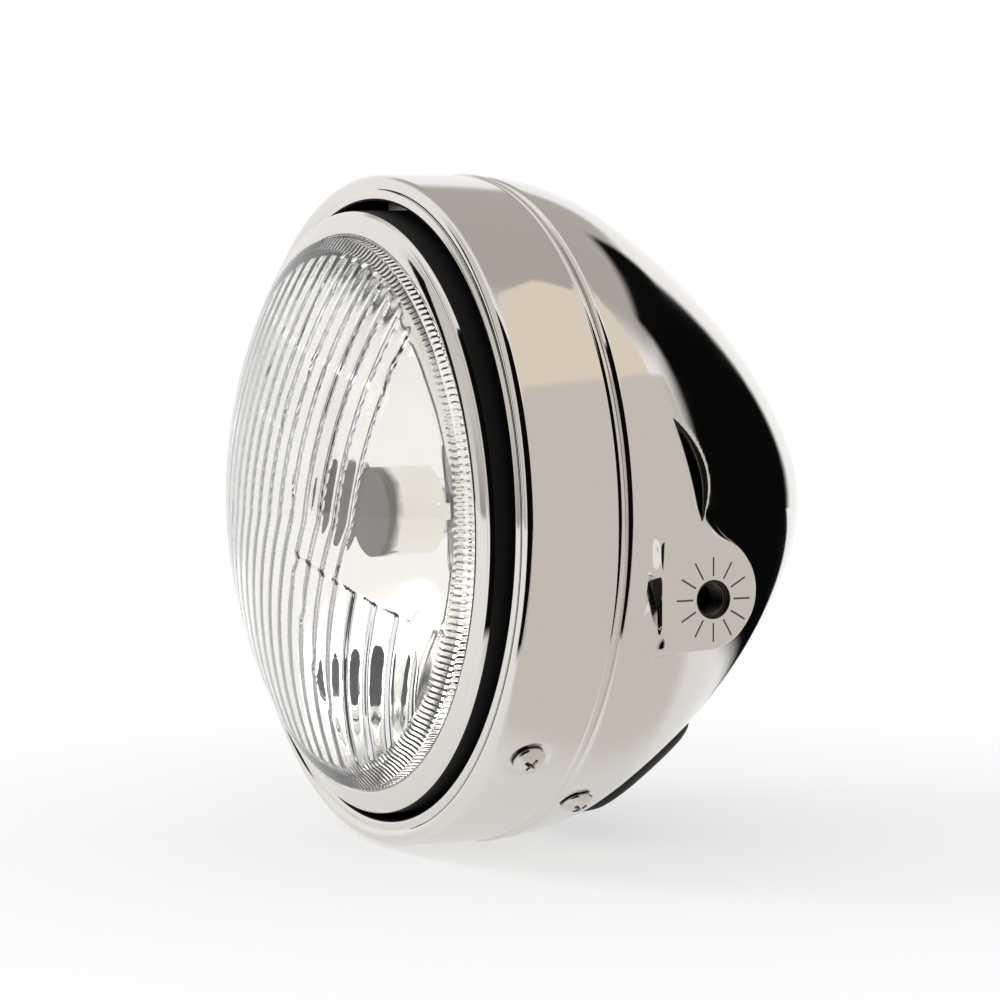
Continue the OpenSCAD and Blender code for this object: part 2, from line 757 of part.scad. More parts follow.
// Points round the spring's wire at each step along its helix
spring_front = bracket_rest_back + spring_wire_r + 0.35;
spring_end = carrier_front - spring_wire_r - 0.05;
spring_sides = 8;
spring_per_turn = 20;
spring_steps = spring_turns * spring_per_turn;
function spring_point(i, k) =
    let (
        a = 360 * i / spring_per_turn,
        b = 360 * k / spring_sides,
        r = spring_coil_r + spring_wire_r * cos(b)
    )
    [r * cos(a), spring_front + (spring_end - spring_front) * i / spring_steps + spring_wire_r * sin(b),
        r * sin(a)];

module aim_spring() {
    n = spring_sides;
    color("silver") lamp() translate([0, 0, aim_screw_z]) polyhedron(
        points = [for (i = [0:spring_steps], k = [0:n - 1]) spring_point(i, k)],
        faces = concat(
            [[for (k = [0:n - 1]) k]],
            [for (i = [0:spring_steps - 1], k = [0:n - 1])
                [i * n + k, (i + 1) * n + k, (i + 1) * n + (k + 1) % n, i * n + (k + 1) % n]],
            [[for (k = [n - 1:-1:0]) spring_steps * n + k]]
        )
    );
}

module aim_nut() {
    color("silver") lamp() translate([0, carrier_front + carrier_wall, aim_screw_z]) rotate([-90, 0, 0])
        rotate([0, 0, 30]) hex_nut(aim_nut_flats, aim_nut_t, aim_screw_r + 0.06);
}

rim_nut_top = lip_inner_r - 0.25;
shell_nut_top = band_inner_r - 0.25;

module rim_screws() {
    color("silver") lamp() for (angle = [-rim_screw_angle, rim_screw_angle - 180])
        radial(angle, rim_screw_back) translate([0, 0, dimple_r + 0.02])
            pan_screw(head_r, head_t, screw_r, dimple_r - rim_nut_top + nut_t);
}

module rim_nuts() {
    color("silver") lamp() for (angle = [-rim_screw_angle, rim_screw_angle - 180])
        radial(angle, rim_screw_back) translate([0, 0, rim_nut_top - nut_t])
            hex_nut(nut_flats, nut_t, screw_r + screw_fit / 2);
}

module shell_screws() {
    color("silver") lamp() for (angle = [-shell_screw_angle, shell_screw_angle - 180])
        radial(angle, shell_screw_back) translate([0, 0, screw_seat_r + 0.02])
            pan_screw(head_r, head_t, screw_r, screw_seat_r - shell_nut_top + nut_t);
}

module shell_nuts() {
    color("silver") lamp() for (angle = [-shell_screw_angle, shell_screw_angle - 180])
        radial(angle, shell_screw_back) translate([0, 0, shell_nut_top - nut_t])
            hex_nut(nut_flats, nut_t, screw_r + screw_fit / 2);
}

// Threaded nut behind one mounting pad
module mount_nut(side) {
    outer = bolt_face - shell_wall - 0.05;
    color("gray") translate([side * (outer - bolt_thread_length), 0, 0]) rotate([0, side * 90, 0])
        hex_nut(bolt_nut_flats, bolt_thread_length, bolt_thread_r);
}

module right_mount_nut() {
    mount_nut(1);
}

module left_mount_nut() {
    mount_nut(-1);
}

module wiring_grommet() {
    color("black") lamp() {
        cover_layer(-cover_t, -0.05, 0, cover_corner_r);
        cover_layer(-0.5, shell_wall + 0.5, cover_hole_inset + cover_hole_fit,
            cover_hole_corner_r - cover_hole_fit);
        cover_layer(shell_wall + 0.05, shell_wall + 2, cover_flange_inset, cover_hole_corner_r);
    }
}

shell();
rim();
unit_ring();
lens();
lens_gasket();
reflector();
unit_clips();
bulb_glass();
bulb_base();
bulb_clip();
bulb_shield();
dust_boot();
pilot_bulb();
pilot_socket();
aim_bracket();
pivot_bushes();
carrier();
pivot_pins();
aim_screw();
aim_spring();
aim_nut();
rim_screws();
rim_nuts();
shell_screws();
shell_nuts();
right_mount_nut();
left_mount_nut();
wiring_grommet();
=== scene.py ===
"""Dresses the round motorcycle headlight: chromed sheet, pressed glass, mirror bowl, screws and rubber."""

import json
from math import asin, atan, ceil, copysign, cos, dist, pi, radians, sin, tan

import bmesh
import bpy
import numpy as np
from bpy.props import FloatProperty, FloatVectorProperty, IntProperty, PointerProperty
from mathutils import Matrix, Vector

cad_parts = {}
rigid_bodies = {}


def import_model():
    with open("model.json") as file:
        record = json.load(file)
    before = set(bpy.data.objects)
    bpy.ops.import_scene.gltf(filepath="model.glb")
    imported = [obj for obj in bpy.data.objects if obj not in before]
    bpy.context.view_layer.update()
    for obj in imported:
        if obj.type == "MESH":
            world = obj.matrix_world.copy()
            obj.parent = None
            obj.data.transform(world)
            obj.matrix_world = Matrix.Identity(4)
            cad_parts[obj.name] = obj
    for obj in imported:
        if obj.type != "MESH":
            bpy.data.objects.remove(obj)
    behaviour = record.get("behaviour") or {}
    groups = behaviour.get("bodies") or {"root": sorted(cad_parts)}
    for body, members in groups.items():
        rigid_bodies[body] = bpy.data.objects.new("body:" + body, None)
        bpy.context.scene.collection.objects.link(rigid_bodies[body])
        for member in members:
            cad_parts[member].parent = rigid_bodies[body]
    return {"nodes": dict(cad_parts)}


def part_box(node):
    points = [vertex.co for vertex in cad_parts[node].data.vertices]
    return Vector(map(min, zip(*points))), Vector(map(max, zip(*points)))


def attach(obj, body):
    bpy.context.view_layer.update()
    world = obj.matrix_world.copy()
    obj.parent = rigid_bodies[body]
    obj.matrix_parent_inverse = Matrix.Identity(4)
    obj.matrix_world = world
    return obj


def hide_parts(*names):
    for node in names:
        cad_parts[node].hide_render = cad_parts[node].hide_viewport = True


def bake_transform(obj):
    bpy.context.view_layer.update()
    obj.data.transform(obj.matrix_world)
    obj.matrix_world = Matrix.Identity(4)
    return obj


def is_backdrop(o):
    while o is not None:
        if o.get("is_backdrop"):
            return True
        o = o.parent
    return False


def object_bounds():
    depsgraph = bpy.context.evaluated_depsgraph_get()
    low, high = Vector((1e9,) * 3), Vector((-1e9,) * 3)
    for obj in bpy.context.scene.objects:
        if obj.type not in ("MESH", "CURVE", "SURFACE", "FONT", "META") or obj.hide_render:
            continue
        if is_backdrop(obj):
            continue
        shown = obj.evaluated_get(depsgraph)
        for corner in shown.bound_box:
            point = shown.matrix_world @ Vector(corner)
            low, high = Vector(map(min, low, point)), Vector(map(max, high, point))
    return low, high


bl_info = {
    "name": "Round motorcycle headlight",
    "version": (1, 0, 0),
    "blender": (4, 5, 0),
    "location": "View3D > Sidebar > Headlight",
    "description": "Builds the visible pieces, the finishes and the studio of a chromed round headlight",
    "category": "Object",
}

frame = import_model()
CAD_BOX = [list(corner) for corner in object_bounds()]

# Places in millimetres, the same as in the part's source
BOLT_BACK, BOLT_DROP, BOLT_FACE = 55.6, 20.0, 90.0
PIVOT_BACK, AIM = 15.0, 1.15
BAND_R, RIM_WALL, SHELL_R, SHELL_WALL = 93.6, 0.9, 94.0, 1.0
RIM_SCREW, BUCKET_SCREW = (-41.5, 11.0, 93.3), (-55.5, 35.0, 93.45)
DIMPLE_R = 6.1
GLASS_R, DOME_R, GLASS_FRONT, GLASS_T, RING_EDGE = 76.5, 143.0, 11.4, 3.5, 8.6
FOCAL, BOWL_R, NECK_R = 33.0, 76.0, 20.0
# Point on the lamp's axis at the rim's shoulder, in metres
AXIS_POINT = Vector((0, -BOLT_BACK, BOLT_DROP)) / 1000
# Pad in millimetres from its bolt: a round end about a centre, a square end, and the cut-offs all round
PAD_ROUND, PAD_CENTRE, PAD_SQUARE_TOP = 16.0, (-2.0, 2.0), 14.8
PAD_FRONT, PAD_LOW, PAD_TOP = -16.0, -14.0, 18.0
# Part of the bucket that each pad's patch takes up: depth behind the shoulder, and angle in degrees
PAD_ROWS, PAD_COLUMNS = (31.0, 84.0), (-36.0, 22.0)
# Leaf-shaped crease in millimetres from the bolt: foot, length, left edge and its lean, width, arch and reach
LEAF_LOW, LEAF_LONG, LEAF_LEFT, LEAF_LEAN, LEAF_WIDE = 20.5, 27.5, -2.9, 7.8, 6.5
LEAF_ARCH, LEAF_REACH = 0.8, 1.15


def linear(hex_colour):
    """Linear red, green, blue and alpha of an sRGB hex colour."""
    parts = [int(hex_colour[i:i + 2], 16) / 255 for i in (1, 3, 5)]
    return tuple(c / 12.92 if c <= 0.04045 else ((c + 0.055) / 1.055) ** 2.4 for c in parts) + (1.0,)


class HEADLIGHT_PG_sizes(bpy.types.PropertyGroup):
    flute_pitch: FloatProperty(name="Flute pitch", description="Spacing of the upright flutes in the glass",
                               default=0.0066, min=0.004, max=0.012, unit="LENGTH")
    flute_depth: FloatProperty(name="Flute depth", description="How far each flute bulges behind the glass",
                               default=0.0009, min=0.0002, max=0.002, unit="LENGTH")
    thread_pitch: FloatProperty(name="Thread pitch", description="Pitch of the thread in the mounting nuts",
                                default=0.00125, min=0.0005, max=0.002, unit="LENGTH")
    thread_turns: IntProperty(name="Thread turns", description="Turns of thread in each mounting nut",
                              default=6, min=3, max=7)
    card_distance: FloatProperty(name="Card distance", description="Distance of the studio's reflected cards",
                                 default=1.6, min=0.8, max=4, unit="LENGTH")


class HEADLIGHT_PG_finishes(bpy.types.PropertyGroup):
    chrome: FloatVectorProperty(name="Chrome", description="Tint of the chrome plating", subtype="COLOR",
                                size=3, default=linear("#E2DED9")[:3], min=0, max=1)
    cream: FloatVectorProperty(name="Cream card", description="Colour of the warm card beside the lamp",
                               subtype="COLOR", size=3, default=linear("#F4EADB")[:3], min=0, max=1)
    chrome_roughness: FloatProperty(name="Chrome roughness", description="Roughness of the polished plating",
                                    default=0.045, min=0, max=0.3, subtype="FACTOR")
    floor: FloatVectorProperty(name="Floor", description="Colour of the studio floor", subtype="COLOR", size=3,
                               default=linear("#F4F4F3")[:3], min=0, max=1)


def ahead(a):
    """Unit step in radius and depth at a heading, where 0 runs back and a quarter turn runs in to the axis."""
    return np.array([-sin(a), cos(a)])


def aside(a):
    return ahead(a + pi / 2)


def sheet(start, heading, bends, depth, step=4.0, reach=2.5):
    """Outline of a pressed sheet in radius and depth, from bends of run, radius and turn, at a depth to its
    hidden side. Bends are cut every step degrees and every reach millimetres."""
    p, a, points = np.array(start, float), radians(heading), []
    for run, radius, turn in bends:
        q = p + run * ahead(a)
        if run > 0:
            pieces = max(1, ceil(run / (reach * 2)))
            points += [p + (q - p) * k / pieces + depth * aside(a) for k in range(pieces)]
        if turn:
            turn, rho = radians(turn), copysign(radius, turn)
            n = max(1, ceil(abs(turn) / radians(step)), ceil(abs(turn) * radius / reach))
            centre = q + rho * aside(a)
            for k in range(n):
                b = a + turn * k / n
                points.append(centre - rho * aside(b) + depth * aside(b))
            a += turn
            q = centre - rho * aside(a)
        p = q
    points.append(p + depth * aside(a))
    return np.array(points)


def end_of(start, heading, bends):
    return sheet(start, heading, bends, 0)[-1]


# Bends of the rim: beaded lip, shoulder, band and seam bead
RIM_START = (86.3, 3.5)
RIM_CORE = [(4.4, 1.2, 120), (0.0, 0.8, -60), (0.2, 2.6, 117)]
RIM_RUN = (BAND_R - end_of(RIM_START, 180, RIM_CORE)[0]) / sin(radians(120))
RIM_BENDS = [RIM_CORE[0], (RIM_RUN, 0.8, -60), RIM_CORE[2], (0, 24 / sin(radians(5)), 5),
             (0, 0.5, -50), (0, 1.2, 100), (0, 0.5, -50)]
SEAM_BACK = end_of(RIM_START, 180, RIM_BENDS)[1]

# Bends of the bucket: lip under the rim, joggle, shoulder, flank and nose
LIP_R = BAND_R - RIM_WALL - 0.3
LIP_FRONT = SEAM_BACK - 0.5 - 19
JOGGLE_RUN = (SHELL_R - LIP_R - 3 * (1 - cos(pi / 4))) / sin(pi / 4)
BUCKET_BENDS = [(19, 1.5, -45), (JOGGLE_RUN, 1.5, 48), (0, 60, 26), (0, 206, 24), (0, 21, 37)]

# Bends of the inner ring: folded edge, convex band, step, slope and skirt
RING_START = (GLASS_R + 0.4, 1.2 + 0.9 - RING_EDGE - 0.3)
RING_CORE = [(0.9, 1.2, 100), (0, 10, 22), (0, 0.6, -32), (0, 1.2, 55)]
RING_RUN = (84 - end_of(RING_START, 180, RING_CORE)[0] - 1.2 * (1 - cos(radians(35)))) \
    / sin(radians(35))
RING_FRONT = RING_CORE + [(RING_RUN, 1.2, 35)]
RING_BENDS = RING_FRONT + [(22 - end_of(RING_START, 180, RING_FRONT)[1], 0, 0)]


def smooth(edge0, edge1, x):
    """Smooth step from 0 at edge0 to 1 at edge1."""
    t = np.clip((np.asarray(x, float) - edge0) / (edge1 - edge0), 0, 1)
    return t * t * (3 - 2 * t)


def placed(points, tilted):
    """Points in millimetres about the lamp's axis, moved to the row frame in metres."""
    p = np.array(points, float).reshape(-1, 3)
    if tilted:
        a = radians(AIM)
        y, z = p[:, 1] - PIVOT_BACK, p[:, 2].copy()
        p[:, 1] = PIVOT_BACK + y * cos(a) - z * sin(a)
        p[:, 2] = y * sin(a) + z * cos(a)
    return (p + np.array([0, -BOLT_BACK, BOLT_DROP])) / 1000


def linked(name, data):
    """Object of a name and its data, in the scene."""
    made = bpy.data.objects.new(name, data)
    bpy.context.scene.collection.objects.link(made)
    return made


def clean_mesh(name, points, faces, materials=(), kinds=None):
    """Mesh from points in metres, with doubles merged and faces outward."""
    mesh = bpy.data.meshes.new(name)
    mesh.from_pydata(points, [], [list(map(int, face)) for face in faces])
    for material in materials:
        mesh.materials.append(material)
    if kinds is not None:
        mesh.polygons.foreach_set("material_index", np.array(kinds, np.int32))
    work = bmesh.new()
    work.from_mesh(mesh)
    bmesh.ops.remove_doubles(work, verts=work.verts, dist=2e-6)
    bmesh.ops.dissolve_degenerate(work, edges=work.edges, dist=1e-7)
    bmesh.ops.recalc_face_normals(work, faces=work.faces)
    work.to_mesh(mesh)
    work.free()
    return mesh


def make_piece(name, points, faces, materials, kinds=None, tilted=False, sharp=32):
    """Object from points in millimetres, smooth but for the edges past sharp degrees."""
    mesh = clean_mesh(name, placed(points, tilted).tolist(), faces, materials, kinds)
    mesh.shade_smooth()
    mesh.set_sharp_from_angle(angle=radians(sharp))
    mesh.update()
    return linked(name, mesh)


def ring_piece(name, grid, bright, materials, tilted=False):
    """Piece from a grid that closes on itself both ways. Its first rows, as many as bright says, and its last
    row are in the first material, the others in the second."""
    rows, cols = grid.shape[:2]
    faces = grid_faces(rows, cols, wrap_rows=True)
    kinds = [0 if k // cols < bright or k // cols == rows - 1 else 1 for k in range(len(faces))]
    return make_piece(name, grid, faces, materials, kinds, tilted)


def turned(points, angles):
    """Grid of points, one row for each point of radius and depth and one column for each angle in radians."""
    r, y = np.array(points)[:, 0], np.array(points)[:, 1]
    c, s = np.cos(angles), np.sin(angles)
    return np.stack([np.outer(r, c), np.outer(y, np.ones_like(c)), np.outer(r, s)], axis=2)


def grid_faces(rows, cols, start=0, wrap_rows=False, skip=None):
    """Quads of a grid whose columns close on themselves."""
    faces = []
    for j in range(rows if wrap_rows else rows - 1):
        k = (j + 1) % rows
        for i in range(cols):
            n = (i + 1) % cols
            if skip is None or not skip(j, i):
                low, high = start + j * cols, start + k * cols
                faces.append((low + i, high + i, high + n, low + n))
    return faces


def strip(first, second, count):
    """Quads between two closed rows of count points that start at first and at second."""
    pairs = [(i, (i + 1) % count) for i in range(count)]
    return [(first + i, first + n, second + n, second + i) for i, n in pairs]


def fan(first, pole, count):
    """Triangles from a closed row of count points to a pole."""
    return [(first + i, first + (i + 1) % count, pole) for i in range(count)]


def spread(spans):
    """Angles in radians from spans of (from, to, step) in degrees, each span without its end."""
    out = []
    for low, high, step in spans:
        n = max(1, round((high - low) / step))
        out += [low + (high - low) * k / n for k in range(n)]
    return np.radians(out)


def both_sides(spans):
    """Angles of the right half from spans in degrees, then the top and their mirror image."""
    right = spread(spans)
    return np.concatenate([right, [pi / 2], pi - right[:0:-1]])


def pressed_in(grid, seat, radius, blend):
    """Presses round flats at a screw's seat and its mirror image into a grid of points."""
    angle, back, floor = seat
    for a in (radians(angle), radians(-180 - angle)):
        out = np.array([cos(a), 0, sin(a)])
        height = grid @ out
        aside_of = grid - height[..., None] * out - np.array([0, back, 0])
        share = smooth(radius + blend, radius - blend, np.linalg.norm(aside_of, axis=2))
        share = share * (height > 0.6 * floor)
        drop = np.maximum(height - floor, 0) * share
        grid -= drop[..., None] * out
    return grid


class Nodes:
    """Node tree with short ways to add to it, each of which returns a socket."""

    def __init__(self, tree):
        self.tree = tree

    def add(self, kind, values=None, pick=0, **settings):
        """Adds a node, a shader node unless its kind says otherwise. A value that is a socket is linked to its
        input, and others are set."""
        whole = kind.startswith(("Geometry", "Function", "NodeGroup"))
        made = self.tree.nodes.new(kind if whole else "ShaderNode" + kind)
        for key, value in settings.items():
            setattr(made, key, value)
        for key, value in (values or {}).items():
            if isinstance(value, bpy.types.NodeSocket):
                self.tree.links.new(value, made.inputs[key])
            else:
                made.inputs[key].default_value = value
        return made.outputs[pick] if made.outputs else None

    def maths(self, operation, first, *others):
        """Result for numbers or sockets, worked from left to right where there are more than two."""
        if not others:
            return self.add("Math", {0: first}, operation=operation)
        for other in others:
            first = self.add("Math", {0: first, 1: other}, operation=operation)
        return first

    def between(self, value, low, high):
        above, below = self.maths("GREATER_THAN", value, low), self.maths("LESS_THAN", value, high)
        return self.maths("MULTIPLY", above, below)

    def axes(self, vector):
        """The three parts of a vector."""
        return tuple(self.add("SeparateXYZ", {0: vector}).node.outputs)

    def mapped(self, value, low, high, to_low=0.0, to_high=1.0, **settings):
        return self.add("MapRange", {"Value": value, "From Min": low, "From Max": high,
                                     "To Min": to_low, "To Max": to_high}, **settings)

    def seen_share(self):
        """1 for the rays of the camera, mirrors and glass, and 0 for all others."""
        rays = self.add("LightPath").node.outputs
        seen = (rays[f"Is {kind} Ray"] for kind in ("Camera", "Glossy", "Transmission"))
        return self.maths("MAXIMUM", *seen)


class Finish(Nodes):
    """Procedural material on the object's own coordinates."""

    def __init__(self, name):
        self.material = bpy.data.materials.new(name)
        self.material.use_nodes = True
        super().__init__(self.material.node_tree)
        self.tree.nodes.clear()
        self.coords = self.add("TexCoord", pick="Object")

    def noise(self, scale, detail, roughness=0.5):
        return self.add("TexNoise", {"Scale": scale, "Detail": detail, "Roughness": roughness,
                                     "Vector": self.coords})

    def cells(self, scale):
        return self.add("TexVoronoi", {"Scale": scale, "Vector": self.coords})

    def ramp(self, value, low, high):
        """Colour that runs from one hex colour to another."""
        tone = self.add("ValToRGB", {"Fac": value})
        for element, colour in zip(tone.node.color_ramp.elements, (low, high)):
            element.color = linear(colour)
        return tone

    def mixed(self, share, first, second):
        """Colour that runs from first to second with share, where each is a colour or a socket."""
        return self.add("Mix", {0: share, 6: first, 7: second}, pick=2, data_type="RGBA")

    def bump(self, height, strength, distance, under=None):
        """Normal of a relief, on top of the one under it."""
        values = {"Height": height, "Strength": strength, "Distance": distance}
        return self.add("Bump", values if under is None else {**values, "Normal": under})

    def shaded(self, colour, roughness, normal=None, more=None):
        """The material, ended in a principled shader."""
        values = {"Base Color": colour, "Roughness": roughness, **(more or {})}
        if normal is not None:
            values["Normal"] = normal
        return self.ended(self.add("BsdfPrincipled", values))

    def ended(self, shader):
        self.add("OutputMaterial", {"Surface": shader})
        return self.material


METAL = {"Metallic": 1.0}


def finish_of():
    return bpy.context.scene.headlight_finishes


def sizes_of():
    return bpy.context.scene.headlight_sizes


def chrome_plate(name, ticks=False):
    """Decorative chrome over polished steel. Buffed before plating: a clear mirror with a faint orange peel
    of 6 mm, and a thin film of dust and wiping that dulls it in places of about 30 mm."""
    chrome = Finish(name)
    colour, dull = (*finish_of().chrome, 1), finish_of().chrome_roughness
    rough = chrome.mapped(chrome.noise(34, 3, 0.6), 0.42, 0.7, dull, dull + 0.05)
    normal = chrome.bump(chrome.noise(160, 1.5), 0.05, 0.0003)
    if ticks:
        colour, normal = stamped_ticks_and_crease_reflection(chrome, colour, normal)
    return chrome.shaded(colour, rough, normal, METAL)


def stamped_ticks_and_crease_reflection(chrome, colour, normal):
    """Colour and normal with twelve short lines stamped round each bolt hole, 0.48 mm wide and 5 mm long, and
    a painted dark reflection, with near-black streaks, in the leaf-shaped crease above each pad."""
    count, half_width, pad_face = 12, 0.00024, 0.0893
    maths, (x, y, z) = chrome.maths, chrome.axes(chrome.coords)
    radius = maths("SQRT", maths("ADD", maths("MULTIPLY", y, y), maths("MULTIPLY", z, z)))
    turn = maths("MULTIPLY", maths("ARCTAN2", z, y), count / (2 * pi))
    off = maths("ABSOLUTE", maths("SUBTRACT", turn, maths("ROUND", turn)))
    line = maths("LESS_THAN", maths("MULTIPLY", off, radius), half_width * count / (2 * pi))
    face = maths("GREATER_THAN", maths("ABSOLUTE", x), pad_face)
    cut = maths("MULTIPLY", line, chrome.between(radius, 0.0062, 0.0112), face)
    leaf, across = crease_mask(chrome, x, y, z)
    # Painted reflection: inside the crease the plating turns dark grey with near-black streaks, standing in for
    # the dark reflection that the crease shows.
    painted_reflection_streak = maths("GREATER_THAN", maths("SINE", maths("MULTIPLY", across, 17.0)), 0.955)
    painted_crease_reflection = chrome.mixed(painted_reflection_streak, linear("#1B1816"), linear("#6B6661"))
    tint = chrome.mixed(leaf, chrome.mixed(cut, colour, linear("#5C5854")), painted_crease_reflection)
    return tint, chrome.bump(maths("SUBTRACT", 1.0, cut), 0.6, 0.0003, normal)


def crease_mask(chrome, x, y, z):
    """Share inside the leaf-shaped crease and the place across it, from the same curve as crease_depth."""
    maths = chrome.maths
    along = maths("DIVIDE", maths("SUBTRACT", z, LEAF_LOW / 1000), LEAF_LONG / 1000)
    arch = maths("POWER", maths("SINE", maths("MULTIPLY", along, pi)), LEAF_ARCH)
    left = maths("SUBTRACT", LEAF_LEFT / 1000, maths("MULTIPLY", along, LEAF_LEAN / 1000))
    across = maths("DIVIDE", maths("SUBTRACT", y, left), maths("MULTIPLY", arch, LEAF_WIDE / 1000))
    beside = maths("GREATER_THAN", maths("ABSOLUTE", x), 0.06)
    inside = chrome.between(across, 0.03, LEAF_REACH), chrome.between(along, 0.0, 1.0)
    return maths("MULTIPLY", *inside, beside), across


def bare_steel():
    """Unplated back of the pressed steel sheet: dull, dark and mill-marked, seen only through gaps."""
    steel = Finish("bare_pressed_steel")
    return steel.shaded(steel.ramp(steel.noise(260, 4), "#070707", "#100F0F"), 0.7, more={"Metallic": 0.4})


def pressed_glass():
    """Clear soda-lime glass, pressed in a mould: a smooth front, and a fire-polished back with fine ridges of
    2 mm on the cone round its edge."""
    glass = Finish("pressed_soda_lime_glass")
    ridges, border, border_front = 226.0, (0.0688, 0.0694), (-0.0655, -0.0645)
    x, y, z = glass.axes(glass.add("Mapping", {"Location": (0, 0, -BOLT_DROP / 1000),
                                               "Vector": glass.coords}))
    wave = glass.maths("SINE", glass.maths("MULTIPLY", glass.maths("ARCTAN2", z, x), ridges))
    flat = glass.add("CombineXYZ", {"X": x, "Y": z})
    reach = glass.add("VectorMath", {0: flat}, "Value", operation="LENGTH")
    share = glass.maths("MULTIPLY", glass.mapped(reach, *border), glass.mapped(y, *border_front))
    ripple = glass.bump(glass.noise(90, 2), 0.04, 0.0004)
    normal = glass.bump(glass.maths("MULTIPLY", wave, share), 0.5, 0.0004, ripple)
    return glass.shaded(linear("#FFFFFF"), 0.0, normal, {"IOR": 1.5, "Transmission Weight": 1.0})


def aluminised_mirror():
    """Steel bowl with vacuum-deposited aluminium under lacquer: a bright and slightly milky mirror."""
    mirror = Finish("aluminised_lacquered_steel")
    haze = mirror.mapped(mirror.noise(60, 3), 0, 1, 0.06, 0.14)
    return mirror.shaded(linear("#F7F4EE"), haze, more=METAL)


def zinc_steel(name="zinc_plated_steel", tint="#B9B7B0", rough=0.32):
    """Bright zinc plating on steel: satin grey with a soft spangle of 3 mm."""
    zinc = Finish(name)
    normal = zinc.bump(zinc.noise(700, 2), 0.12, 0.0001)
    dull = zinc.mapped(zinc.cells(330), 0, 1, rough, rough + 0.16)
    return zinc.shaded(linear(tint), dull, normal, METAL)


def screw_chrome():
    """Bright plated screw steel: a clear mirror on the pan, and painted near-black shade down in the cross and
    below.
    """
    screw = Finish("plated_screw_steel")
    occlusion_for_painted_shade = screw.add("AmbientOcclusion", {"Distance": 0.0016}, "AO", samples=8)
    # Painted shade: where ambient occlusion finds the cross recess and the seat below the head, the plating
    # turns near black.
    tint = screw.mixed(screw.mapped(occlusion_for_painted_shade, 0.45, 0.72), linear("#15120F"), linear("#DAD6D0"))
    return screw.shaded(tint, screw.mapped(screw.noise(500, 3), 0, 1, 0.05, 0.16), more=METAL)


def shade_steel(front):
    """Pressed steel cap before the bulb: darker grey on its face and first 3 mm, bright plating behind."""
    cap = Finish("heat_darkened_steel")
    blotch = cap.maths("MULTIPLY", cap.noise(150, 3), 0.003)
    bright = cap.mapped(cap.maths("ADD", cap.axes(cap.coords)[1], blotch), front + 0.0035, front + 0.0065)
    tint = cap.mixed(bright, linear("#77726C"), linear("#F4F1EB"))
    return cap.shaded(tint, cap.mapped(bright, 0, 1, 0.38, 0.1), more=METAL)


def epdm_rubber():
    """Moulded EPDM rubber: matt black with a fine pebble of 0.6 mm and a greyer bloom where it is handled."""
    rubber = Finish("moulded_epdm_rubber")
    tone = rubber.ramp(rubber.noise(120, 4), "#0B0B0B", "#1A1918")
    return rubber.shaded(tone, 0.62, rubber.bump(rubber.cells(1600), 0.25, 0.0002))


def nylon():
    """Natural injection-moulded nylon: creamy and slightly translucent, with a satin skin."""
    plastic = Finish("moulded_natural_nylon")
    skin = plastic.noise(900, 2)
    return plastic.shaded(plastic.ramp(skin, "#DED6C4", "#E9E3D4"), 0.4, plastic.bump(skin, 0.1, 0.0001),
                          {"Subsurface Weight": 0.1, "Subsurface Scale": 0.001})


def quartz_glass():
    """Drawn quartz tube of a halogen bulb: clear, with faint length-wise draw waves."""
    quartz = Finish("drawn_quartz_glass")
    return quartz.shaded(linear("#F4F6F8"), 0.02, quartz.bump(quartz.noise(200, 1), 0.08, 0.0002),
                         {"IOR": 1.46, "Transmission Weight": 1.0})


def pad_reach(angle):
    """Distance from the bolt to the pad's outline at an angle in its plane, from +Y towards +Z."""
    steps = np.arange(1, 1100) * 0.02
    y, z = steps * cos(angle), steps * sin(angle)
    round_end = (y - PAD_CENTRE[0]) ** 2 + (z - PAD_CENTRE[1]) ** 2 < PAD_ROUND ** 2
    square_end = (y < 0) & (z < PAD_SQUARE_TOP)
    return steps[(round_end | square_end) & (y > PAD_FRONT) & (z > PAD_LOW) & (z < PAD_TOP)].max()


def crease_depth(y, z):
    """Depth of the leaf-shaped crease that the press leaves above each pad, measured from the bolt."""
    along = (z - LEAF_LOW) / LEAF_LONG
    width = LEAF_WIDE * np.sin(np.pi * np.clip(along, 0, 1)) ** LEAF_ARCH + 1e-6
    across = (y - (LEAF_LEFT - LEAF_LEAN * along)) / width
    rise, fall = np.clip(across, 0, 1) / 0.85, np.clip((LEAF_REACH - across) / 0.3, 0, 1)
    return np.where((along > 0) & (along < 1), 0.16 * width * np.where(across < 0.85, rise, fall), 0.0)


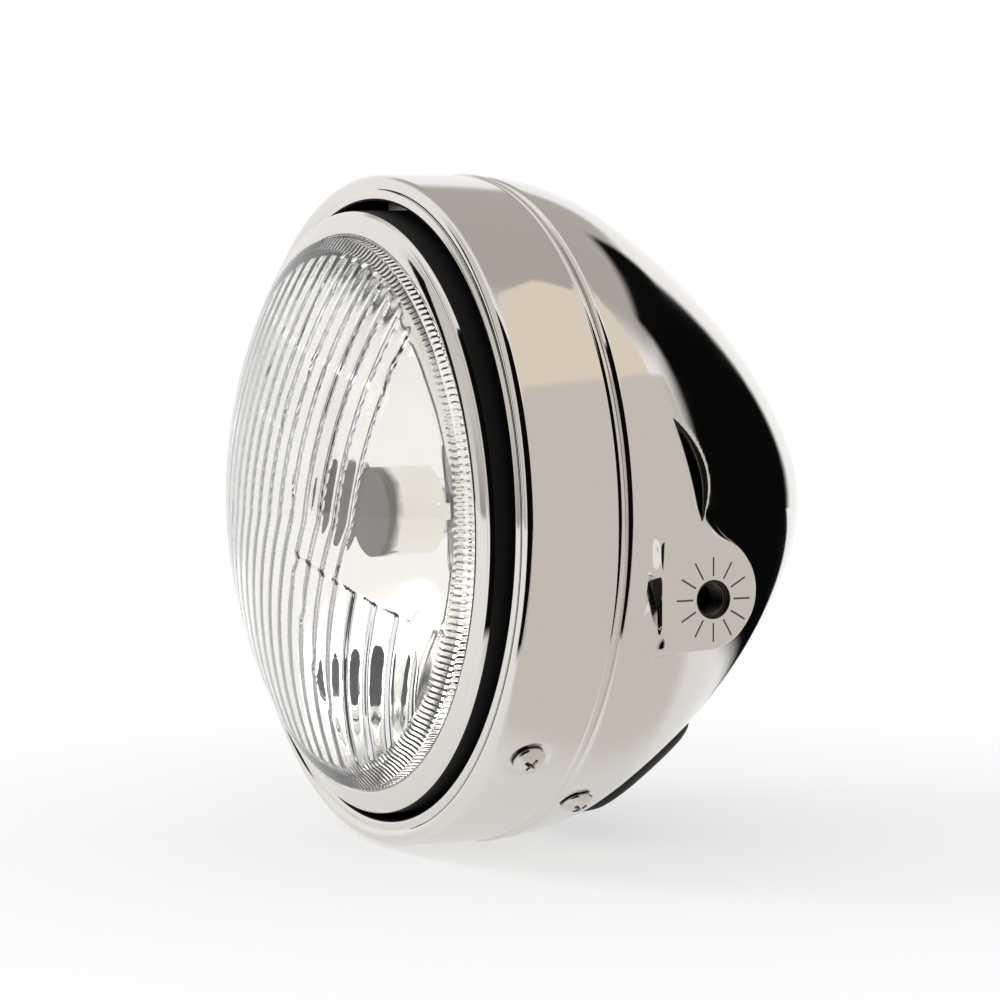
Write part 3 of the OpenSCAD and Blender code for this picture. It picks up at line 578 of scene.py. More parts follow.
def pad_patch(edge, plane, radius_at, side, steps):
    """Rings that run from the bolt hole over the pad's flat face and its blended edge out to the points of
    edge, which are in order round it. radius_at gives the bucket's radius at a depth, and steps is how many
    rings lie outside the blend."""
    bolt = np.array([BOLT_BACK, -BOLT_DROP])
    flat = edge[:, 1:] - bolt
    angles = np.arctan2(flat[:, 1], flat[:, 0])
    rim = np.array([pad_reach(a) for a in angles])
    for _ in range(2):
        rim = (np.roll(rim, 1) + 2 * rim + np.roll(rim, -1)) / 4
    heading = np.stack([np.cos(angles), np.sin(angles)], axis=1)
    turn = np.degrees(angles) % 360
    soft = smooth(60, 100, turn) * smooth(235, 195, turn)
    steep = smooth(157, 163, turn) * smooth(208, 202, turn)

    def ring(distance):
        """Ring at a distance from the bolt. The blend is wide where soft is 1, and a wall with a dent in front
        of it where steep is 1."""
        spot = bolt + heading * distance[:, None]
        surface = np.sqrt(radius_at(spot[:, 0]) ** 2 - spot[:, 1] ** 2)
        off = distance - rim
        share = 1 - smooth(0, 1, (off + 0.9 + 3.0 * soft) / (2.2 + 9.0 * soft))
        share += (1 - np.clip((off - 0.2) / 5.5, 0, 1) - share) * steep
        floor = plane - 1.5 * steep * smooth(-0.4, 0.2, off)
        dent = crease_depth(*(spot - bolt).T)
        return np.column_stack([side * ((surface - dent) * (1 - share) + floor * share), spot])

    blend_end = 1.4
    rings = [ring(np.full(len(edge), distance)) for distance in (5.2, 5.5, 7.0, 9.0)]
    rings += [ring(rim + off) for off in (
        -3.9, -3.0, -2.2, -1.5, -1.0, -0.7, -0.4, -0.1, 0.2, 0.5, 0.8, 1.1, blend_end)]
    beyond = np.linalg.norm(flat, axis=1) - rim - blend_end
    rings += [ring(rim + blend_end + beyond * (k / steps) ** 1.4) for k in range(1, steps)]
    return np.array(rings + [edge])


def bucket_line(depth, step, reach):
    """Outline of the bucket at a depth into its wall."""
    return sheet((LIP_R, LIP_FRONT), 0, BUCKET_BENDS, depth, step, reach)


def bucket_radius(depth):
    """Function that gives the bucket's radius behind its joggle, at a depth into its wall."""
    line = bucket_line(depth, 2, 0.25)
    line = line[line[:, 1] > 29.5]
    return lambda back: np.interp(back, line[:, 1], line[:, 0])


class HEADLIGHT_OT_bucket(bpy.types.Operator):
    """Builds the chromed bucket with its two mounting pads and screw seats"""
    bl_idname = "headlight.bucket"
    bl_label = "Bucket"

    def execute(self, context):
        low, high = PAD_COLUMNS
        angles = both_sides([(-90, -60, 2), (-60, -51, 0.5), (-51, low, 1.5), (low, high, 0.8),
                             (high, 90, 2)])
        cols = len(angles)
        flip = {i: (cols - i) % cols for i in range(cols)}
        col_low, col_high = (int(np.argmin(abs(angles - radians(a)))) for a in PAD_COLUMNS)
        row_low, row_high = (int(np.argmax(bucket_line(0, 6, 1.6)[:, 1] > back)) for back in PAD_ROWS)
        around = [(row_low, i) for i in range(col_low, col_high)]
        around += [(j, col_high) for j in range(row_low, row_high)]
        around += [(row_high, i) for i in range(col_high, col_low, -1)]
        around += [(j, col_low) for j in range(row_high, row_low, -1)]

        def in_patch(j, i):
            mirrored = (flip[i] - 1) % cols
            return row_low <= j < row_high and (col_low <= i < col_high or col_low <= mirrored < col_high)

        points, faces, kinds, starts, holes = [], [], [], [], []
        for layer, (depth, steps) in enumerate(((0, 44), (SHELL_WALL, 16))):
            outline = bucket_line(depth, 6, 1.6)
            grid = turned(outline, angles)
            if layer == 0:
                grid = pressed_in(grid, BUCKET_SCREW, 5.5, 0.5)
            starts.append(len(points))
            faces += grid_faces(len(outline), cols, starts[-1], skip=in_patch)
            points += [*grid.reshape(-1, 3).tolist(), [0, outline[-1, 1], 0]]
            faces += fan(len(points) - 1 - cols, len(points) - 1, cols)
            for side in (1, -1):
                edge = np.array([grid[j, i if side > 0 else flip[i]] for j, i in around])
                rings = pad_patch(edge, BOLT_FACE - depth, bucket_radius(depth), side, steps)
                holes.append(len(points))
                faces += grid_faces(len(rings), len(edge), len(points))
                points += rings.reshape(-1, 3).tolist()
            kinds += [layer] * (len(faces) - len(kinds))
        faces += strip(*starts, cols)
        for right_or_left in (0, 1):
            faces += strip(*holes[right_or_left::2], len(around))
        kinds += [0] * (len(faces) - len(kinds))
        finishes = [chrome_plate("chrome_plated_bucket", ticks=True), bare_steel()]
        bucket = make_piece("chrome_bucket", points, faces, finishes, kinds, sharp=40)
        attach(bucket, "housing")
        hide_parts("shell")
        return {"FINISHED"}


class HEADLIGHT_OT_rim(bpy.types.Operator):
    """Builds the chromed rim with its beaded lip, screw dimples and seam bead"""
    bl_idname = "headlight.rim"
    bl_label = "Rim"

    def execute(self, context):
        outer = sheet(RIM_START, 180, RIM_BENDS, 0, step=7, reach=0.9)
        inner = sheet(RIM_START, 180, RIM_BENDS, RIM_WALL, step=12, reach=4)
        low, high = RIM_SCREW[0] - 5, RIM_SCREW[0] + 5
        angles = both_sides([(-90, low, 1.5), (low, high, 0.45), (high, 90, 1.5)])
        front = pressed_in(turned(outer, angles), RIM_SCREW, DIMPLE_R, 0.35)
        grid = np.concatenate([front, turned(inner[::-1], angles)])
        rim = ring_piece("chrome_rim", grid, len(outer), [chrome_plate("chrome_plated_rim"), bare_steel()])
        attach(rim, "housing")
        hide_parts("rim")
        return {"FINISHED"}


class HEADLIGHT_OT_unit_ring(bpy.types.Operator):
    """Builds the bright inner ring that holds the glass"""
    bl_idname = "headlight.unit_ring"
    bl_label = "Inner ring"

    def execute(self, context):
        wall, bright_r = 0.8, 83.6
        outer = sheet(RING_START, 180, RING_BENDS, 0, step=5, reach=2)
        inner = sheet(RING_START, 180, RING_BENDS, wall, step=10, reach=4)
        grid = turned(np.concatenate([outer, inner[::-1]]), spread([(0, 360, 1.2)]))
        ring = ring_piece("chrome_inner_ring", grid, int(np.argmax(outer[:, 0] > bright_r)),
                          [chrome_plate("chrome_plated_ring"), bare_steel()], tilted=True)
        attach(ring, "lamp_unit")
        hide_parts("unit_ring")
        return {"FINISHED"}


def dome_depth(radius, sphere):
    """Depth of a sphere about the dome's centre at a distance from the lamp's axis."""
    centre = DOME_R * cos(asin(GLASS_R / DOME_R)) - GLASS_FRONT
    return centre - np.sqrt(sphere ** 2 - np.asarray(radius, float) ** 2)


def flute_height(x, z, pitch, depth):
    """How far the pressed pattern stands behind the plain dome: flutes that lean with height, a smooth field at
    the right above the cut line, and low steps that fall towards +X."""
    cut = np.where(x < 12, 1e3, np.interp(x, [12, 62], [-8.5, -27]))
    below = (x > 40 + 0.5 * z) & (z < cut)
    lean = np.where(z > 0, 0.2 * z, 0.5 * z)
    across = (x - lean - 40) / np.where(below, pitch * 1.25, pitch)
    share = across - np.floor(across) - 0.5
    flute = depth * (0.6 * (0.5 + 0.5 * np.cos(2 * pi * share)) + 0.4 * (1 - (2 * share) ** 2))
    plain = smooth(39.2, 40.8, x - lean) * smooth(cut - 0.4, cut + 0.4, z)
    height = flute * (1 - plain) + 0.5 * depth * plain
    upper = 47 - 0.27 * x
    height += 0.35 * smooth(upper - 0.35, upper + 0.35, z) * smooth(46, 44, x)
    short = 25 - 0.27 * x
    height += 0.3 * smooth(short - 0.35, short + 0.35, z) * smooth(-14, -12, x) * smooth(4, 2, x)
    height += 0.5 * smooth(cut + 0.35, cut - 0.35, z) * smooth(11, 14, x)
    return height


class HEADLIGHT_OT_lens(bpy.types.Operator):
    """Builds the pressed glass: smooth dome, fluted back, steep ridged border and flange"""
    bl_idname = "headlight.lens"
    bl_label = "Lens"

    def execute(self, context):
        field, per, rows, inner_sphere = 69.0, 9, 190, DOME_R - GLASS_T
        pitch, depth = sizes_of().flute_pitch * 1000, sizes_of().flute_depth * 1000

        # Fluted back: columns that follow the flutes, and more of them at the field's two narrow sides
        first = -round(60 / pitch) * pitch + (42 % pitch)
        middle = [first + pitch * k / per for k in range(int((60 - first) / pitch) * per + 1)]
        sides = [field * cos(radians(a)) for a in np.linspace(1.4, 27, 20)] + [field * 0.99998]
        xs = np.array(sorted({*middle, *(-s for s in sides if -s < middle[0] - 0.3),
                              *(s for s in sides if s > middle[-1] + 0.3)}))
        cols = len(xs)
        x = np.repeat(xs[:, None], rows, axis=1)
        z = np.outer(np.sqrt(np.maximum(field ** 2 - xs ** 2, 1e-6)), np.linspace(-1, 1, rows))
        y = dome_depth(np.hypot(x, z), inner_sphere) + flute_height(x, z, pitch, depth)
        points = np.stack([x, y, z], axis=2).reshape(-1, 3).tolist()
        faces = [(i * rows + j, (i + 1) * rows + j, (i + 1) * rows + j + 1, i * rows + j + 1)
                 for i in range(cols - 1) for j in range(rows - 1)]
        border = [i * rows for i in range(cols)] + [i * rows + rows - 1 for i in range(cols - 1, -1, -1)]

        # Ridged cone, flange and smooth dome, turned at the angles of the field's border
        flange_front = RING_START[1] + 0.4
        flange_back = flange_front + GLASS_T + 1
        outline = [(r, dome_depth(r, inner_sphere) + back) for r, back in ((70.2, 1.2), (71.2, 3.4))]
        outline += [(72.6, flange_back - 3.5), (74.0, flange_back - 0.6), (74.5, flange_back),
                    (81.0, flange_back), (81.5, flange_back - 0.5), (81.5, flange_front + 0.4),
                    (81.1, flange_front), (77.2, flange_front), (76.7, flange_front - 0.5)]
        dome = GLASS_R * np.sin(np.linspace(1, 0, 34)[:-1] * pi / 2)
        outline += [(r, dome_depth(r, DOME_R)) for r in dome]
        corners = np.array([points[k] for k in border])
        n, start = len(border), len(points)
        points += turned(outline, np.arctan2(corners[:, 2], corners[:, 0])).reshape(-1, 3).tolist()
        faces += [(border[i], border[(i + 1) % n], start + (i + 1) % n, start + i) for i in range(n)]
        faces += grid_faces(len(outline), n, start) + fan(len(points) - n, len(points), n)
        points.append([0, float(dome_depth(0, DOME_R)), 0])
        lens = make_piece("pressed_glass_lens", points, faces, [pressed_glass()], tilted=True, sharp=24)
        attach(lens, "lamp_unit")
        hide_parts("lens")
        return {"FINISHED"}


class HEADLIGHT_OT_bowl(bpy.types.Operator):
    """Builds the aluminised bowl behind the glass"""
    bl_idname = "headlight.bowl"
    bl_label = "Reflector"

    def execute(self, context):
        wall, flange_r, seat_r, hole_r, mirror_rows = 0.9, 81.5, 25.0, 19.0, 60
        front = RING_START[1] + 0.4 + GLASS_T + 1 + 1
        back = front + BOWL_R ** 2 / (4 * FOCAL)
        inside = [(r, back - r * r / (4 * FOCAL)) for r in np.linspace(NECK_R, BOWL_R, mirror_rows)]
        neck = inside[0][1] + 6
        outside = []
        for r in np.linspace(BOWL_R - 0.5, NECK_R, 30):
            slope = atan(r / (2 * FOCAL))
            depth = back - r * r / (4 * FOCAL)
            outside.append((r + wall * sin(slope), depth + wall * cos(slope)))
        outside[-1] = (NECK_R + wall, outside[-1][1])
        flange = [(flange_r - 0.3, front), (flange_r, front + 0.3), (flange_r, front + wall)]
        outline = [*inside, *flange, *outside, (NECK_R + wall, neck), (seat_r, neck), (seat_r, neck + wall),
                   (hole_r, neck + wall), (hole_r, neck), (NECK_R, neck)]
        bowl = ring_piece("mirror_bowl", turned(outline, spread([(0, 360, 1.5)])), mirror_rows,
                          [aluminised_mirror(), zinc_steel("bowl_back_steel", "#8E8C88", 0.4)], tilted=True)
        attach(bowl, "lamp_unit")
        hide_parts("reflector")
        return {"FINISHED"}


def plain_mesh(obj):
    """Plain mesh of an object with its modifiers."""
    bpy.context.view_layer.update()
    return bpy.data.meshes.new_from_object(obj.evaluated_get(bpy.context.evaluated_depsgraph_get()))


def screw_head():
    """Pan head with a moulded cross recess and a short shank, its seat at the origin, in metres."""
    count, high, dome, flat, shank, foot = 48, 2.8, 7.2, 0.56, 2.3, -3.0
    profile = [(dome * sin(a) * 4.1 / 5.674, high - (dome - dome * cos(a)) * flat)
               for a in np.radians(52 * np.arange(1, 9) / 8)]
    profile += [(4.4, 1.0), (4.5, 0.7), (4.5, 0.15), (4.4, 0.0), (shank, 0.0), (shank, foot)]
    grid = turned(profile, 2 * pi * np.arange(count) / count)[:, :, [0, 2, 1]]
    points = np.array([(0, 0, high), *grid.reshape(-1, 3), (0, 0, foot)]) / 1000
    last = len(points) - 1
    faces = fan(1, 0, count) + grid_faces(len(profile), count, 1) + fan(last - count, last, count)
    head = linked("screw_head", clean_mesh("screw_head", points.tolist(), faces))

    # Cross: two wedges at right angles, narrow at the bottom and wide above the head
    corners, sides = [], []
    for c, s in ((1, 0), (0, 1)):
        first = len(corners)
        for height, long, wide in ((1.15, 1.1, 0.42), (3.4, 3.3, 0.72)):
            corners += [(x * c - y * s, x * s + y * c, height)
                        for x, y in ((-long, -wide), (long, -wide), (long, wide), (-long, wide))]
        sides += [[first + k for k in quad] for quad in (
            (3, 2, 1, 0), (4, 5, 6, 7), (0, 1, 5, 4), (1, 2, 6, 5), (2, 3, 7, 6), (3, 0, 4, 7))]
    wedges = clean_mesh("cross_recess", (np.array(corners) / 1000).tolist(), sides)
    cutter = linked("cross_recess", wedges)
    cut = head.modifiers.new("recess", "BOOLEAN")
    cut.object, cut.operation, cut.solver, cut.use_self = cutter, "DIFFERENCE", "EXACT", True
    soften = head.modifiers.new("soft_edges", "BEVEL")
    soften.width, soften.segments, soften.limit_method = 0.00012, 2, "ANGLE"
    soften.angle_limit = radians(40)
    head.data = plain_mesh(head)
    head.modifiers.clear()
    head.data.shade_smooth()
    head.data.set_sharp_from_angle(angle=radians(35))
    bpy.data.objects.remove(cutter)
    return head


class Shape(Nodes):
    """Geometry node tree whose inputs are given by name and socket type."""

    def __init__(self, name, **inputs):
        super().__init__(bpy.data.node_groups.new(name, "GeometryNodeTree"))
        face, self.ids = self.tree.interface, {}
        face.new_socket("Geometry", in_out="INPUT", socket_type="NodeSocketGeometry")
        for label, kind in inputs.items():
            socket = face.new_socket(label, in_out="INPUT", socket_type="NodeSocket" + kind)
            self.ids[label] = socket.identifier
        face.new_socket("Geometry", in_out="OUTPUT", socket_type="NodeSocketGeometry")
        self.given = self.add("NodeGroupInput").node.outputs

    def dressed(self, geometry, material):
        """The tree, ended in real geometry of one material."""
        real = self.add("GeometryNodeRealizeInstances", {"Geometry": geometry})
        made = self.add("GeometryNodeSetMaterial", {"Geometry": real, "Material": material})
        self.add("NodeGroupOutput", {0: made})
        return self

    def baked(self, name, values):
        """Plain mesh object from the tree, whose inputs are set by socket identifier."""
        seed = linked(name + "_nodes", bpy.data.meshes.new(name + "_seed"))
        modifier = seed.modifiers.new("shape", "NODES")
        modifier.node_group = self.tree
        for label, value in values.items():
            modifier[self.ids[label]] = value
        mesh = plain_mesh(seed)
        seed.modifiers.clear()
        bpy.data.objects.remove(seed)
        if not mesh.polygons:
            raise RuntimeError(name + " came out empty")
        return linked(name, mesh)


def screw_tree(head, material):
    """Tree that puts a screw head on a seat and its mirror image, each turned by a seeded random angle."""
    tree = Shape("screws_on_seats", Angle="Float", Back="Float", Seat="Float", Seed="Int")
    given, joined = tree.given, tree.add("GeometryNodeJoinGeometry")
    lamp = tree.add("CombineXYZ", {"Y": given["Back"], "Z": BOLT_DROP / 1000})
    shape = tree.add("GeometryNodeObjectInfo", {"Object": head}, "Geometry")
    for mirror in (1.0, -1.0):
        across = tree.maths("MULTIPLY", tree.maths("COSINE", given["Angle"]), mirror)
        outward = tree.add("CombineXYZ", {"X": across, "Z": tree.maths("SINE", given["Angle"])})
        spot = tree.add("VectorMath", {0: outward, "Scale": given["Seat"]}, operation="SCALE")
        place = tree.add("VectorMath", {0: spot, 1: lamp}, operation="ADD")
        point = tree.add("GeometryNodeMeshLine", {"Count": 1, "Start Location": place})
        facing = tree.add("FunctionNodeAlignRotationToVector", {"Vector": outward}, axis="Z")
        seed = tree.maths("ADD", given["Seed"], mirror)
        chance = tree.add("FunctionNodeRandomValue", {2: 0.2, 3: 1.4, "Seed": seed}, 1, data_type="FLOAT")
        spin = tree.add("FunctionNodeAxisAngleToRotation", {"Axis": (0, 0, 1), "Angle": chance})
        turn = tree.add("FunctionNodeRotateRotation", {0: facing, 1: spin}, rotation_space="LOCAL")
        copies = tree.add("GeometryNodeInstanceOnPoints", {"Points": point, "Instance": shape,
                                                           "Rotation": turn})
        tree.tree.links.new(copies, joined.node.inputs[0])
    return tree.dressed(joined, material)


class HEADLIGHT_OT_screws(bpy.types.Operator):
    """Puts the cross-recess screws on the rim's dimples and the bucket's seats"""
    bl_idname = "headlight.screws"
    bl_label = "Screws"

    def execute(self, context):
        head = screw_head()
        tree = screw_tree(head, screw_chrome())
        for name, (angle, back, floor), cad, seed in (
                ("rim_screw_heads", RIM_SCREW, "rim_screws", 3),
                ("bucket_screw_heads", BUCKET_SCREW, "shell_screws", 8)):
            made = tree.baked(name, {"Angle": radians(angle), "Back": (back - BOLT_BACK) / 1000,
                                     "Seat": (floor + 0.02) / 1000, "Seed": seed})
            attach(made, "housing")
            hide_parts(cad)
        bpy.data.objects.remove(head)
        return {"FINISHED"}


def wound_tree(material):
    """Tree that winds round wire along Z, turns it and puts it in its place."""
    tree = Shape("wound_wire", Turns="Int", Coil="Float", Length="Float", Wire="Float", Steps="Int",
                 Sides="Int", Facing="Vector", Place="Vector")
    given = tree.given
    path = tree.add("GeometryNodeCurveSpiral", {
        "Resolution": given["Steps"], "Rotations": given["Turns"], "Start Radius": given["Coil"],
        "End Radius": given["Coil"], "Height": given["Length"]})
    section = tree.add("GeometryNodeCurvePrimitiveCircle", {"Resolution": given["Sides"],
                                                            "Radius": given["Wire"]})
    wire = tree.add("GeometryNodeCurveToMesh", {"Curve": path, "Profile Curve": section, "Fill Caps": True})
    moved = tree.add("GeometryNodeTransform", {"Geometry": wire, "Rotation": given["Facing"],
                                               "Translation": given["Place"]})
    return tree.dressed(moved, material)


class HEADLIGHT_OT_threads(bpy.types.Operator):
    """Winds the threads into the bores of the two mounting nuts"""
    bl_idname = "headlight.threads"
    bl_label = "Bolt threads"

    def execute(self, context):
        sizes = sizes_of()
        tree = wound_tree(zinc_steel("threaded_nut_steel", "#6E6862", 0.3))
        for side, name in ((1, "right_bolt_thread"), (-1, "left_bolt_thread")):
            made = tree.baked(name, {
                "Turns": sizes.thread_turns, "Coil": 0.0043, "Length": sizes.thread_pitch * sizes.thread_turns,
                "Wire": 0.00042, "Steps": 40, "Sides": 6, "Facing": (0.0, side * pi / 2, 0.0),
                "Place": (side * 0.0808, 0.0, 0.0)})
            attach(made, "housing")
        return {"FINISHED"}


class HEADLIGHT_OT_spring(bpy.types.Operator):
    """Winds the adjuster's spring, which reaches from the carrier to the moving lamp unit"""
    bl_idname = "headlight.spring"
    bl_label = "Adjuster spring"

    def execute(self, context):
        low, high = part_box("aim_spring")
        wire, x, z = 0.00035, (low[0] + high[0]) / 2, (low[2] + high[2]) / 2
        made = wound_tree(zinc_steel("zinc_plated_spring_wire")).baked("adjuster_spring", {
            "Turns": 6, "Coil": (high[0] - low[0]) / 2 - wire, "Length": high[1] - low[1] - 2 * wire,
            "Wire": wire, "Steps": 32, "Sides": 10, "Facing": (-pi / 2, 0.0, 0.0),
            "Place": (x, low[1] + wire, z)})
        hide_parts("aim_spring")
        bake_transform(made)
        return {"FINISHED"}


class HEADLIGHT_OT_wiring_cover(bpy.types.Operator):
    """Builds the moulded rubber cover on the bucket's underside"""
    bl_idname = "headlight.wiring_cover"
    bl_label = "Wiring cover"

    def execute(self, context):
        half_w, half_l, corner, middle, proud, sunk = 36.0, 14.0, 8.0, 70.0, 3.0, 2.5
        radius_at = bucket_radius(0)
        outline = []
        for cx, cy, base in ((1, 1, 0), (-1, 1, 90), (-1, -1, 180), (1, -1, 270)):
            for a in np.radians(base + 90 * np.arange(9) / 8):
                outline.append((cx * (half_w - corner) + corner * cos(a),
                                cy * (half_l - corner) + corner * sin(a)))
        dense = []
        for p, q in zip(outline, outline[1:] + outline[:1]):
            n = max(1, round(dist(p, q) / 2.0))
            dense += [(p[0] + (q[0] - p[0]) * m / n, p[1] + (q[1] - p[1]) * m / n) for m in range(n)]
        dense = np.array(dense)

        def layer(share, height):
            """Outline shrunk to a share of its size, at a height above the bucket."""
            x, y = (dense * share).T
            radius = radius_at(y + middle) + height
            return np.column_stack([x, y + middle, -np.sqrt(radius ** 2 - x ** 2)])

        # Underside, rounded side wall, groove and top, with the insets in millimetres from the edge
        rings = [layer(share, 0.05) for share in (0.02, 0.5, 0.9, 1.0)]
        rings += [layer(1 - inset / half_l, height) for inset, height in (
            (0, 0.9), (0.1, 1.5), (0.35, 2.1), (0.8, 2.6), (1.4, 2.85), (2.2, proud), (3.4, proud), (3.9, sunk),
            (5.1, sunk), (5.6, proud))]
        rings += [layer(share, proud) for share in (0.45, 0.3, 0.15, 0.02)]
        n = len(dense)
        points = np.concatenate(rings).tolist()
        faces = grid_faces(len(rings), n)
        for first in (0, (len(rings) - 1) * n):
            faces += fan(first, len(points), n)
            points.append(np.mean(points[first:first + n], axis=0).tolist())
        cover = make_piece("rubber_wiring_cover", points, faces, [epdm_rubber()], sharp=60)
        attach(cover, "housing")
        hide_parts("wiring_grommet")
        return {"FINISHED"}


class HEADLIGHT_OT_inner_finishes(bpy.types.Operator):
    """Gives the bulbs, clips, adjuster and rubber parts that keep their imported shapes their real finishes"""
    bl_idname = "headlight.inner_finishes"
    bl_label = "Inner finishes"

    def execute(self, context):
        shade_front = min(corner[1] for corner in frame["nodes"]["bulb_shield"].bound_box)
        for material, names in (
                (epdm_rubber(), ("lens_gasket", "dust_boot", "pilot_socket")),
                (quartz_glass(), ("bulb_glass", "pilot_bulb")),
                (nylon(), ("pivot_bushes",)),
                (shade_steel(shade_front), ("bulb_shield",)),
                (bare_steel(), ("carrier",)),
                (zinc_steel(), ("unit_clips", "bulb_base", "bulb_clip", "aim_bracket", "aim_screw", "aim_nut",
                                "aim_spring", "pivot_pins", "rim_nuts", "shell_nuts")),
                (zinc_steel("oiled_nut_steel", "#3A3633", 0.35), ("right_mount_nut", "left_mount_nut"))):
            for name in names:
                piece = frame["nodes"][name]
                piece.data.materials.clear()
                piece.data.materials.append(material)
        return {"FINISHED"}


def flat_sheet(name, corners, material):
    """Stage object of one square face."""
    mesh = bpy.data.meshes.new(name)
    mesh.from_pydata([tuple(corner) for corner in corners], [], [(0, 1, 2, 3)])
    mesh.materials.append(material)
    layer = mesh.uv_layers.new(name="card")
    for k, corner in enumerate(((0, 0), (1, 0), (1, 1), (0, 1))):
        layer.data[k].uv = corner
    flat = linked(name, mesh)
    flat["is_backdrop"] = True
    return flat


def lit_card(name, corners, colour, fade=0.02, strength=1.0):
    """Flat card that only mirrors see, so that it neither lights nor hides the lamp. Its edges fade out over a
    share of its width."""
    glow = Finish(name)
    across, up, _ = glow.axes(glow.add("UVMap", uv_map="card"))
    cover = glow.maths("MULTIPLY", *(
        glow.mapped(glow.maths("ABSOLUTE", glow.maths("SUBTRACT", place, 0.5)), 0.5, 0.5 - fade,
                    interpolation_type="SMOOTHSTEP") for place in (across, up)))
    light = glow.add("Emission", {"Color": colour, "Strength": strength})
    clear = glow.add("BsdfTransparent")
    faded = glow.add("MixShader", {0: cover, 1: clear, 2: light})
    card = flat_sheet(name, corners, glow.ended(faded))
    card.visible_camera = card.visible_diffuse = card.visible_shadow = False
    card.visible_transmission = card.visible_volume_scatter = False


def spot_at(azimuth, distance, height):
    """Point at an azimuth, a distance and a height from the lamp's axis point."""
    a = radians(azimuth)
    return AXIS_POINT + Vector((distance * sin(a), distance * cos(a), height))


def upright_card(name, azimuth, half_width, low, high, distance, *looks):
    """Card at an azimuth about the lamp, 0 at +Y and 90 at +X, from a low to a high elevation in degrees."""
    corners = []
    for side, lift in ((-1, low), (1, low), (1, high), (-1, high)):
        corners.append(spot_at(azimuth + side * half_width, distance, distance * tan(radians(lift))))
    lit_card(name, corners, *looks)


def level_card(name, height, corners, *looks):
    """Card at a height above or below the lamp's axis, with corners given as azimuth and distance."""
    lit_card(name, [spot_at(azimuth, distance, height) for azimuth, distance in corners], *looks)


def studio_world():
    """White surround for the camera, mirrors and glass, at a plain level for everything else."""
    world = bpy.data.worlds.new("white_studio")
    bpy.context.scene.world = world
    world.use_nodes = True
    sky = Nodes(world.node_tree)
    sky.tree.nodes.clear()
    plain, white = (sky.add("Background", {"Color": (1, 1, 1, 1), "Strength": level})
                    for level in (0.62, 1.0))
    mixed = sky.add("MixShader", {0: sky.seen_share(), 1: plain, 2: white})
    sky.add("OutputWorld", {"Surface": mixed})


def studio_floor(height):
    """Pale floor that keeps the lamp's shadow close by and fades into the white surround."""
    pale, far = Finish("pale_studio_floor"), 40
    grain = pale.bump(pale.noise(30, 3), 0.02, 0.001)
    matt = pale.add("BsdfDiffuse", {"Color": (*finish_of().floor, 1), "Normal": grain})
    white = pale.add("Emission", {"Color": (1, 1, 1, 1), "Strength": 1.0})
    reach = pale.add("VectorMath", {0: pale.coords}, "Value", operation="LENGTH")
    share = pale.maths("MULTIPLY", pale.seen_share(), pale.mapped(reach, 0.1, 0.3, 0.6, 1.0))
    corners = [(x * far, y * far, height) for x, y in ((-1, -1), (1, -1), (1, 1), (-1, 1))]
    flat_sheet("studio_floor", corners, pale.ended(
        pale.add("MixShader", {0: share, 1: matt, 2: white})))


def aimed(obj, place, target):
    """Puts a camera or lamp at a place and turns it to a target."""
    obj.location = place
    obj.rotation_mode = "QUATERNION"
    obj.rotation_quaternion = (Vector(target) - Vector(place)).to_track_quat("-Z", "Y")


def soft_lamp(name, place, size, power):
    """Round area lamp that mirrors don't show."""
    data = bpy.data.lights.new(name, "AREA")
    data.shape, data.size, data.energy = "DISK", size, power
    lamp = linked(name, data)
    aimed(lamp, place, AXIS_POINT)
    lamp.visible_glossy = False


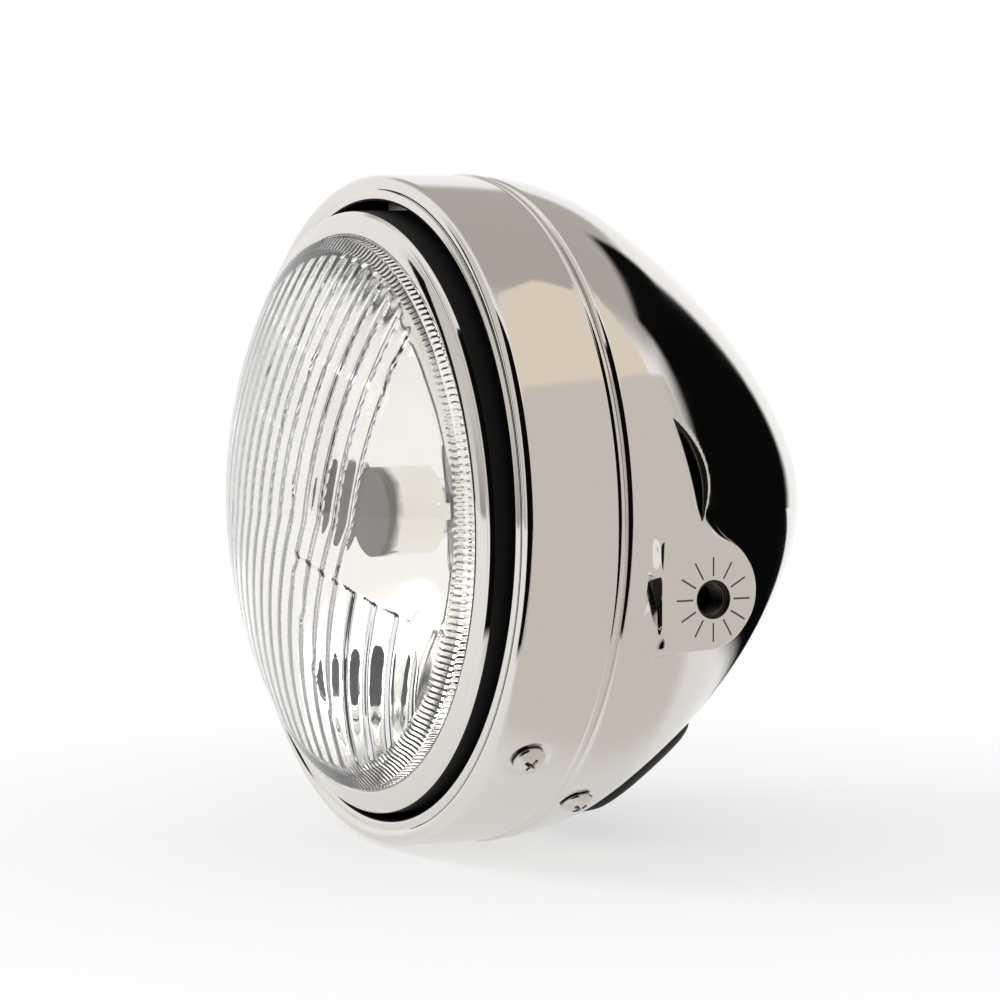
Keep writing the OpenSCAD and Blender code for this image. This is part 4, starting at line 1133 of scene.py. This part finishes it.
class HEADLIGHT_OT_stage(bpy.types.Operator):
    """Sets the camera, the floor, the lamps and the cards that the chrome reflects"""
    bl_idname = "headlight.stage"
    bl_label = "Studio"

    def execute(self, context):
        # Camera from the fit of the photo's ellipses: its back and right directions, its distance and its aim
        back, right, away = Vector((0.9018, -0.4273, 0.0640)), Vector((0.4281, 0.9037, 0.0)), 0.9
        camera = linked("camera", bpy.data.cameras.new("camera"))
        camera.data.lens, camera.data.sensor_width = 115.6, 36
        camera.data.clip_start, camera.data.clip_end = 0.01, 100
        aimed(camera, AXIS_POINT + away * back, AXIS_POINT + 0.0347 * right + 0.0029 * back.cross(right))
        context.scene.camera = camera
        studio_world()
        studio_floor(min(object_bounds()[0][2], CAD_BOX[0][2]) - 0.0002)
        soft_lamp("key", (-0.6, -1.2, 1.1), 0.9, 9)
        soft_lamp("fill", (1.3, -0.5, 0.7), 0.9, 5)

        far, ground = sizes_of().card_distance, -0.0935
        cream, black, pale = (*finish_of().cream, 1), (0.003, 0.003, 0.003, 1), linear("#DAD6D1")
        upright_card("dark_room_front", 126, 34, -8, 56, far, black, 0.04)
        level_card("dark_floor_front", ground, [(94, 1.9), (100, 0.15), (150, 0.15), (158, 1.9)], black)
        upright_card("dark_post_left", 220, 5, -30, 30, far, black, 0.05)
        upright_card("dark_post_right", 188, 8, -30, 32, far, black, 0.05)
        upright_card("dark_room_rear", -14, 22, -16, 42, far, black, 0.12)
        upright_card("dark_room_side", 2, 17, -16, 42, far * 1.02, black, 0.5)
        level_card("dark_floor_rear", ground, [(-32, 1.9), (-34, 0.21), (12, 0.21), (10, 1.9)], black, 0.05)
        level_card("cream_card", far * 0.95, [(88, 2.5), (22, 2.5), (10, 0.8), (62, 0.8)], cream, 0.02, 0.97)
        upright_card("pale_wall", 62, 50, -14, 28, far * 1.3, pale, 0.05)
        level_card("pale_sheet", ground, [(5, 0.118), (120, 0.118), (100, 2.2), (20, 2.2)], pale)
        upright_card("grey_front", 192, 40, -20, 60, far * 1.2, linear("#DBD9D5"), 0.3)
        overhead = ((-2.6, -0.6), (0.9, -0.6), (0.9, 2.6), (-2.6, 2.6))
        lit_card("grey_overhead", [(x, y, AXIS_POINT.z + far) for x, y in overhead], linear("#BDB9B5"), 0.2)
        return {"FINISHED"}


class HEADLIGHT_PT_panel(bpy.types.Panel):
    """Lists the headlight's sizes, finishes and build steps"""
    bl_idname = "HEADLIGHT_PT_panel"
    bl_label = "Round headlight"
    bl_space_type = "VIEW_3D"
    bl_region_type = "UI"
    bl_category = "Headlight"

    def draw(self, context):
        for group in (context.scene.headlight_sizes, context.scene.headlight_finishes):
            for name in group.__annotations__:
                self.layout.prop(group, name)
        for step in STEPS:
            self.layout.operator(step.bl_idname)


STEPS = (HEADLIGHT_OT_bucket, HEADLIGHT_OT_rim, HEADLIGHT_OT_unit_ring, HEADLIGHT_OT_lens, HEADLIGHT_OT_bowl,
         HEADLIGHT_OT_screws, HEADLIGHT_OT_threads, HEADLIGHT_OT_spring, HEADLIGHT_OT_wiring_cover,
         HEADLIGHT_OT_inner_finishes, HEADLIGHT_OT_stage)
CLASSES = (HEADLIGHT_PG_sizes, HEADLIGHT_PG_finishes, *STEPS, HEADLIGHT_PT_panel)


def register():
    for kind in CLASSES:
        bpy.utils.register_class(kind)
    bpy.types.Scene.headlight_sizes = PointerProperty(type=HEADLIGHT_PG_sizes)
    bpy.types.Scene.headlight_finishes = PointerProperty(type=HEADLIGHT_PG_finishes)


def unregister():
    del bpy.types.Scene.headlight_sizes
    del bpy.types.Scene.headlight_finishes
    for kind in reversed(CLASSES):
        bpy.utils.unregister_class(kind)


def main():
    register()
    bpy.context.scene.view_settings.view_transform = "Standard"
    bpy.ops.headlight.bucket()
    bpy.ops.headlight.rim()
    bpy.ops.headlight.unit_ring()
    bpy.ops.headlight.lens()
    bpy.ops.headlight.bowl()
    bpy.ops.headlight.screws()
    bpy.ops.headlight.threads()
    bpy.ops.headlight.spring()
    bpy.ops.headlight.wiring_cover()
    bpy.ops.headlight.inner_finishes()
    bpy.ops.headlight.stage()


if __name__ == "__main__":
    main()
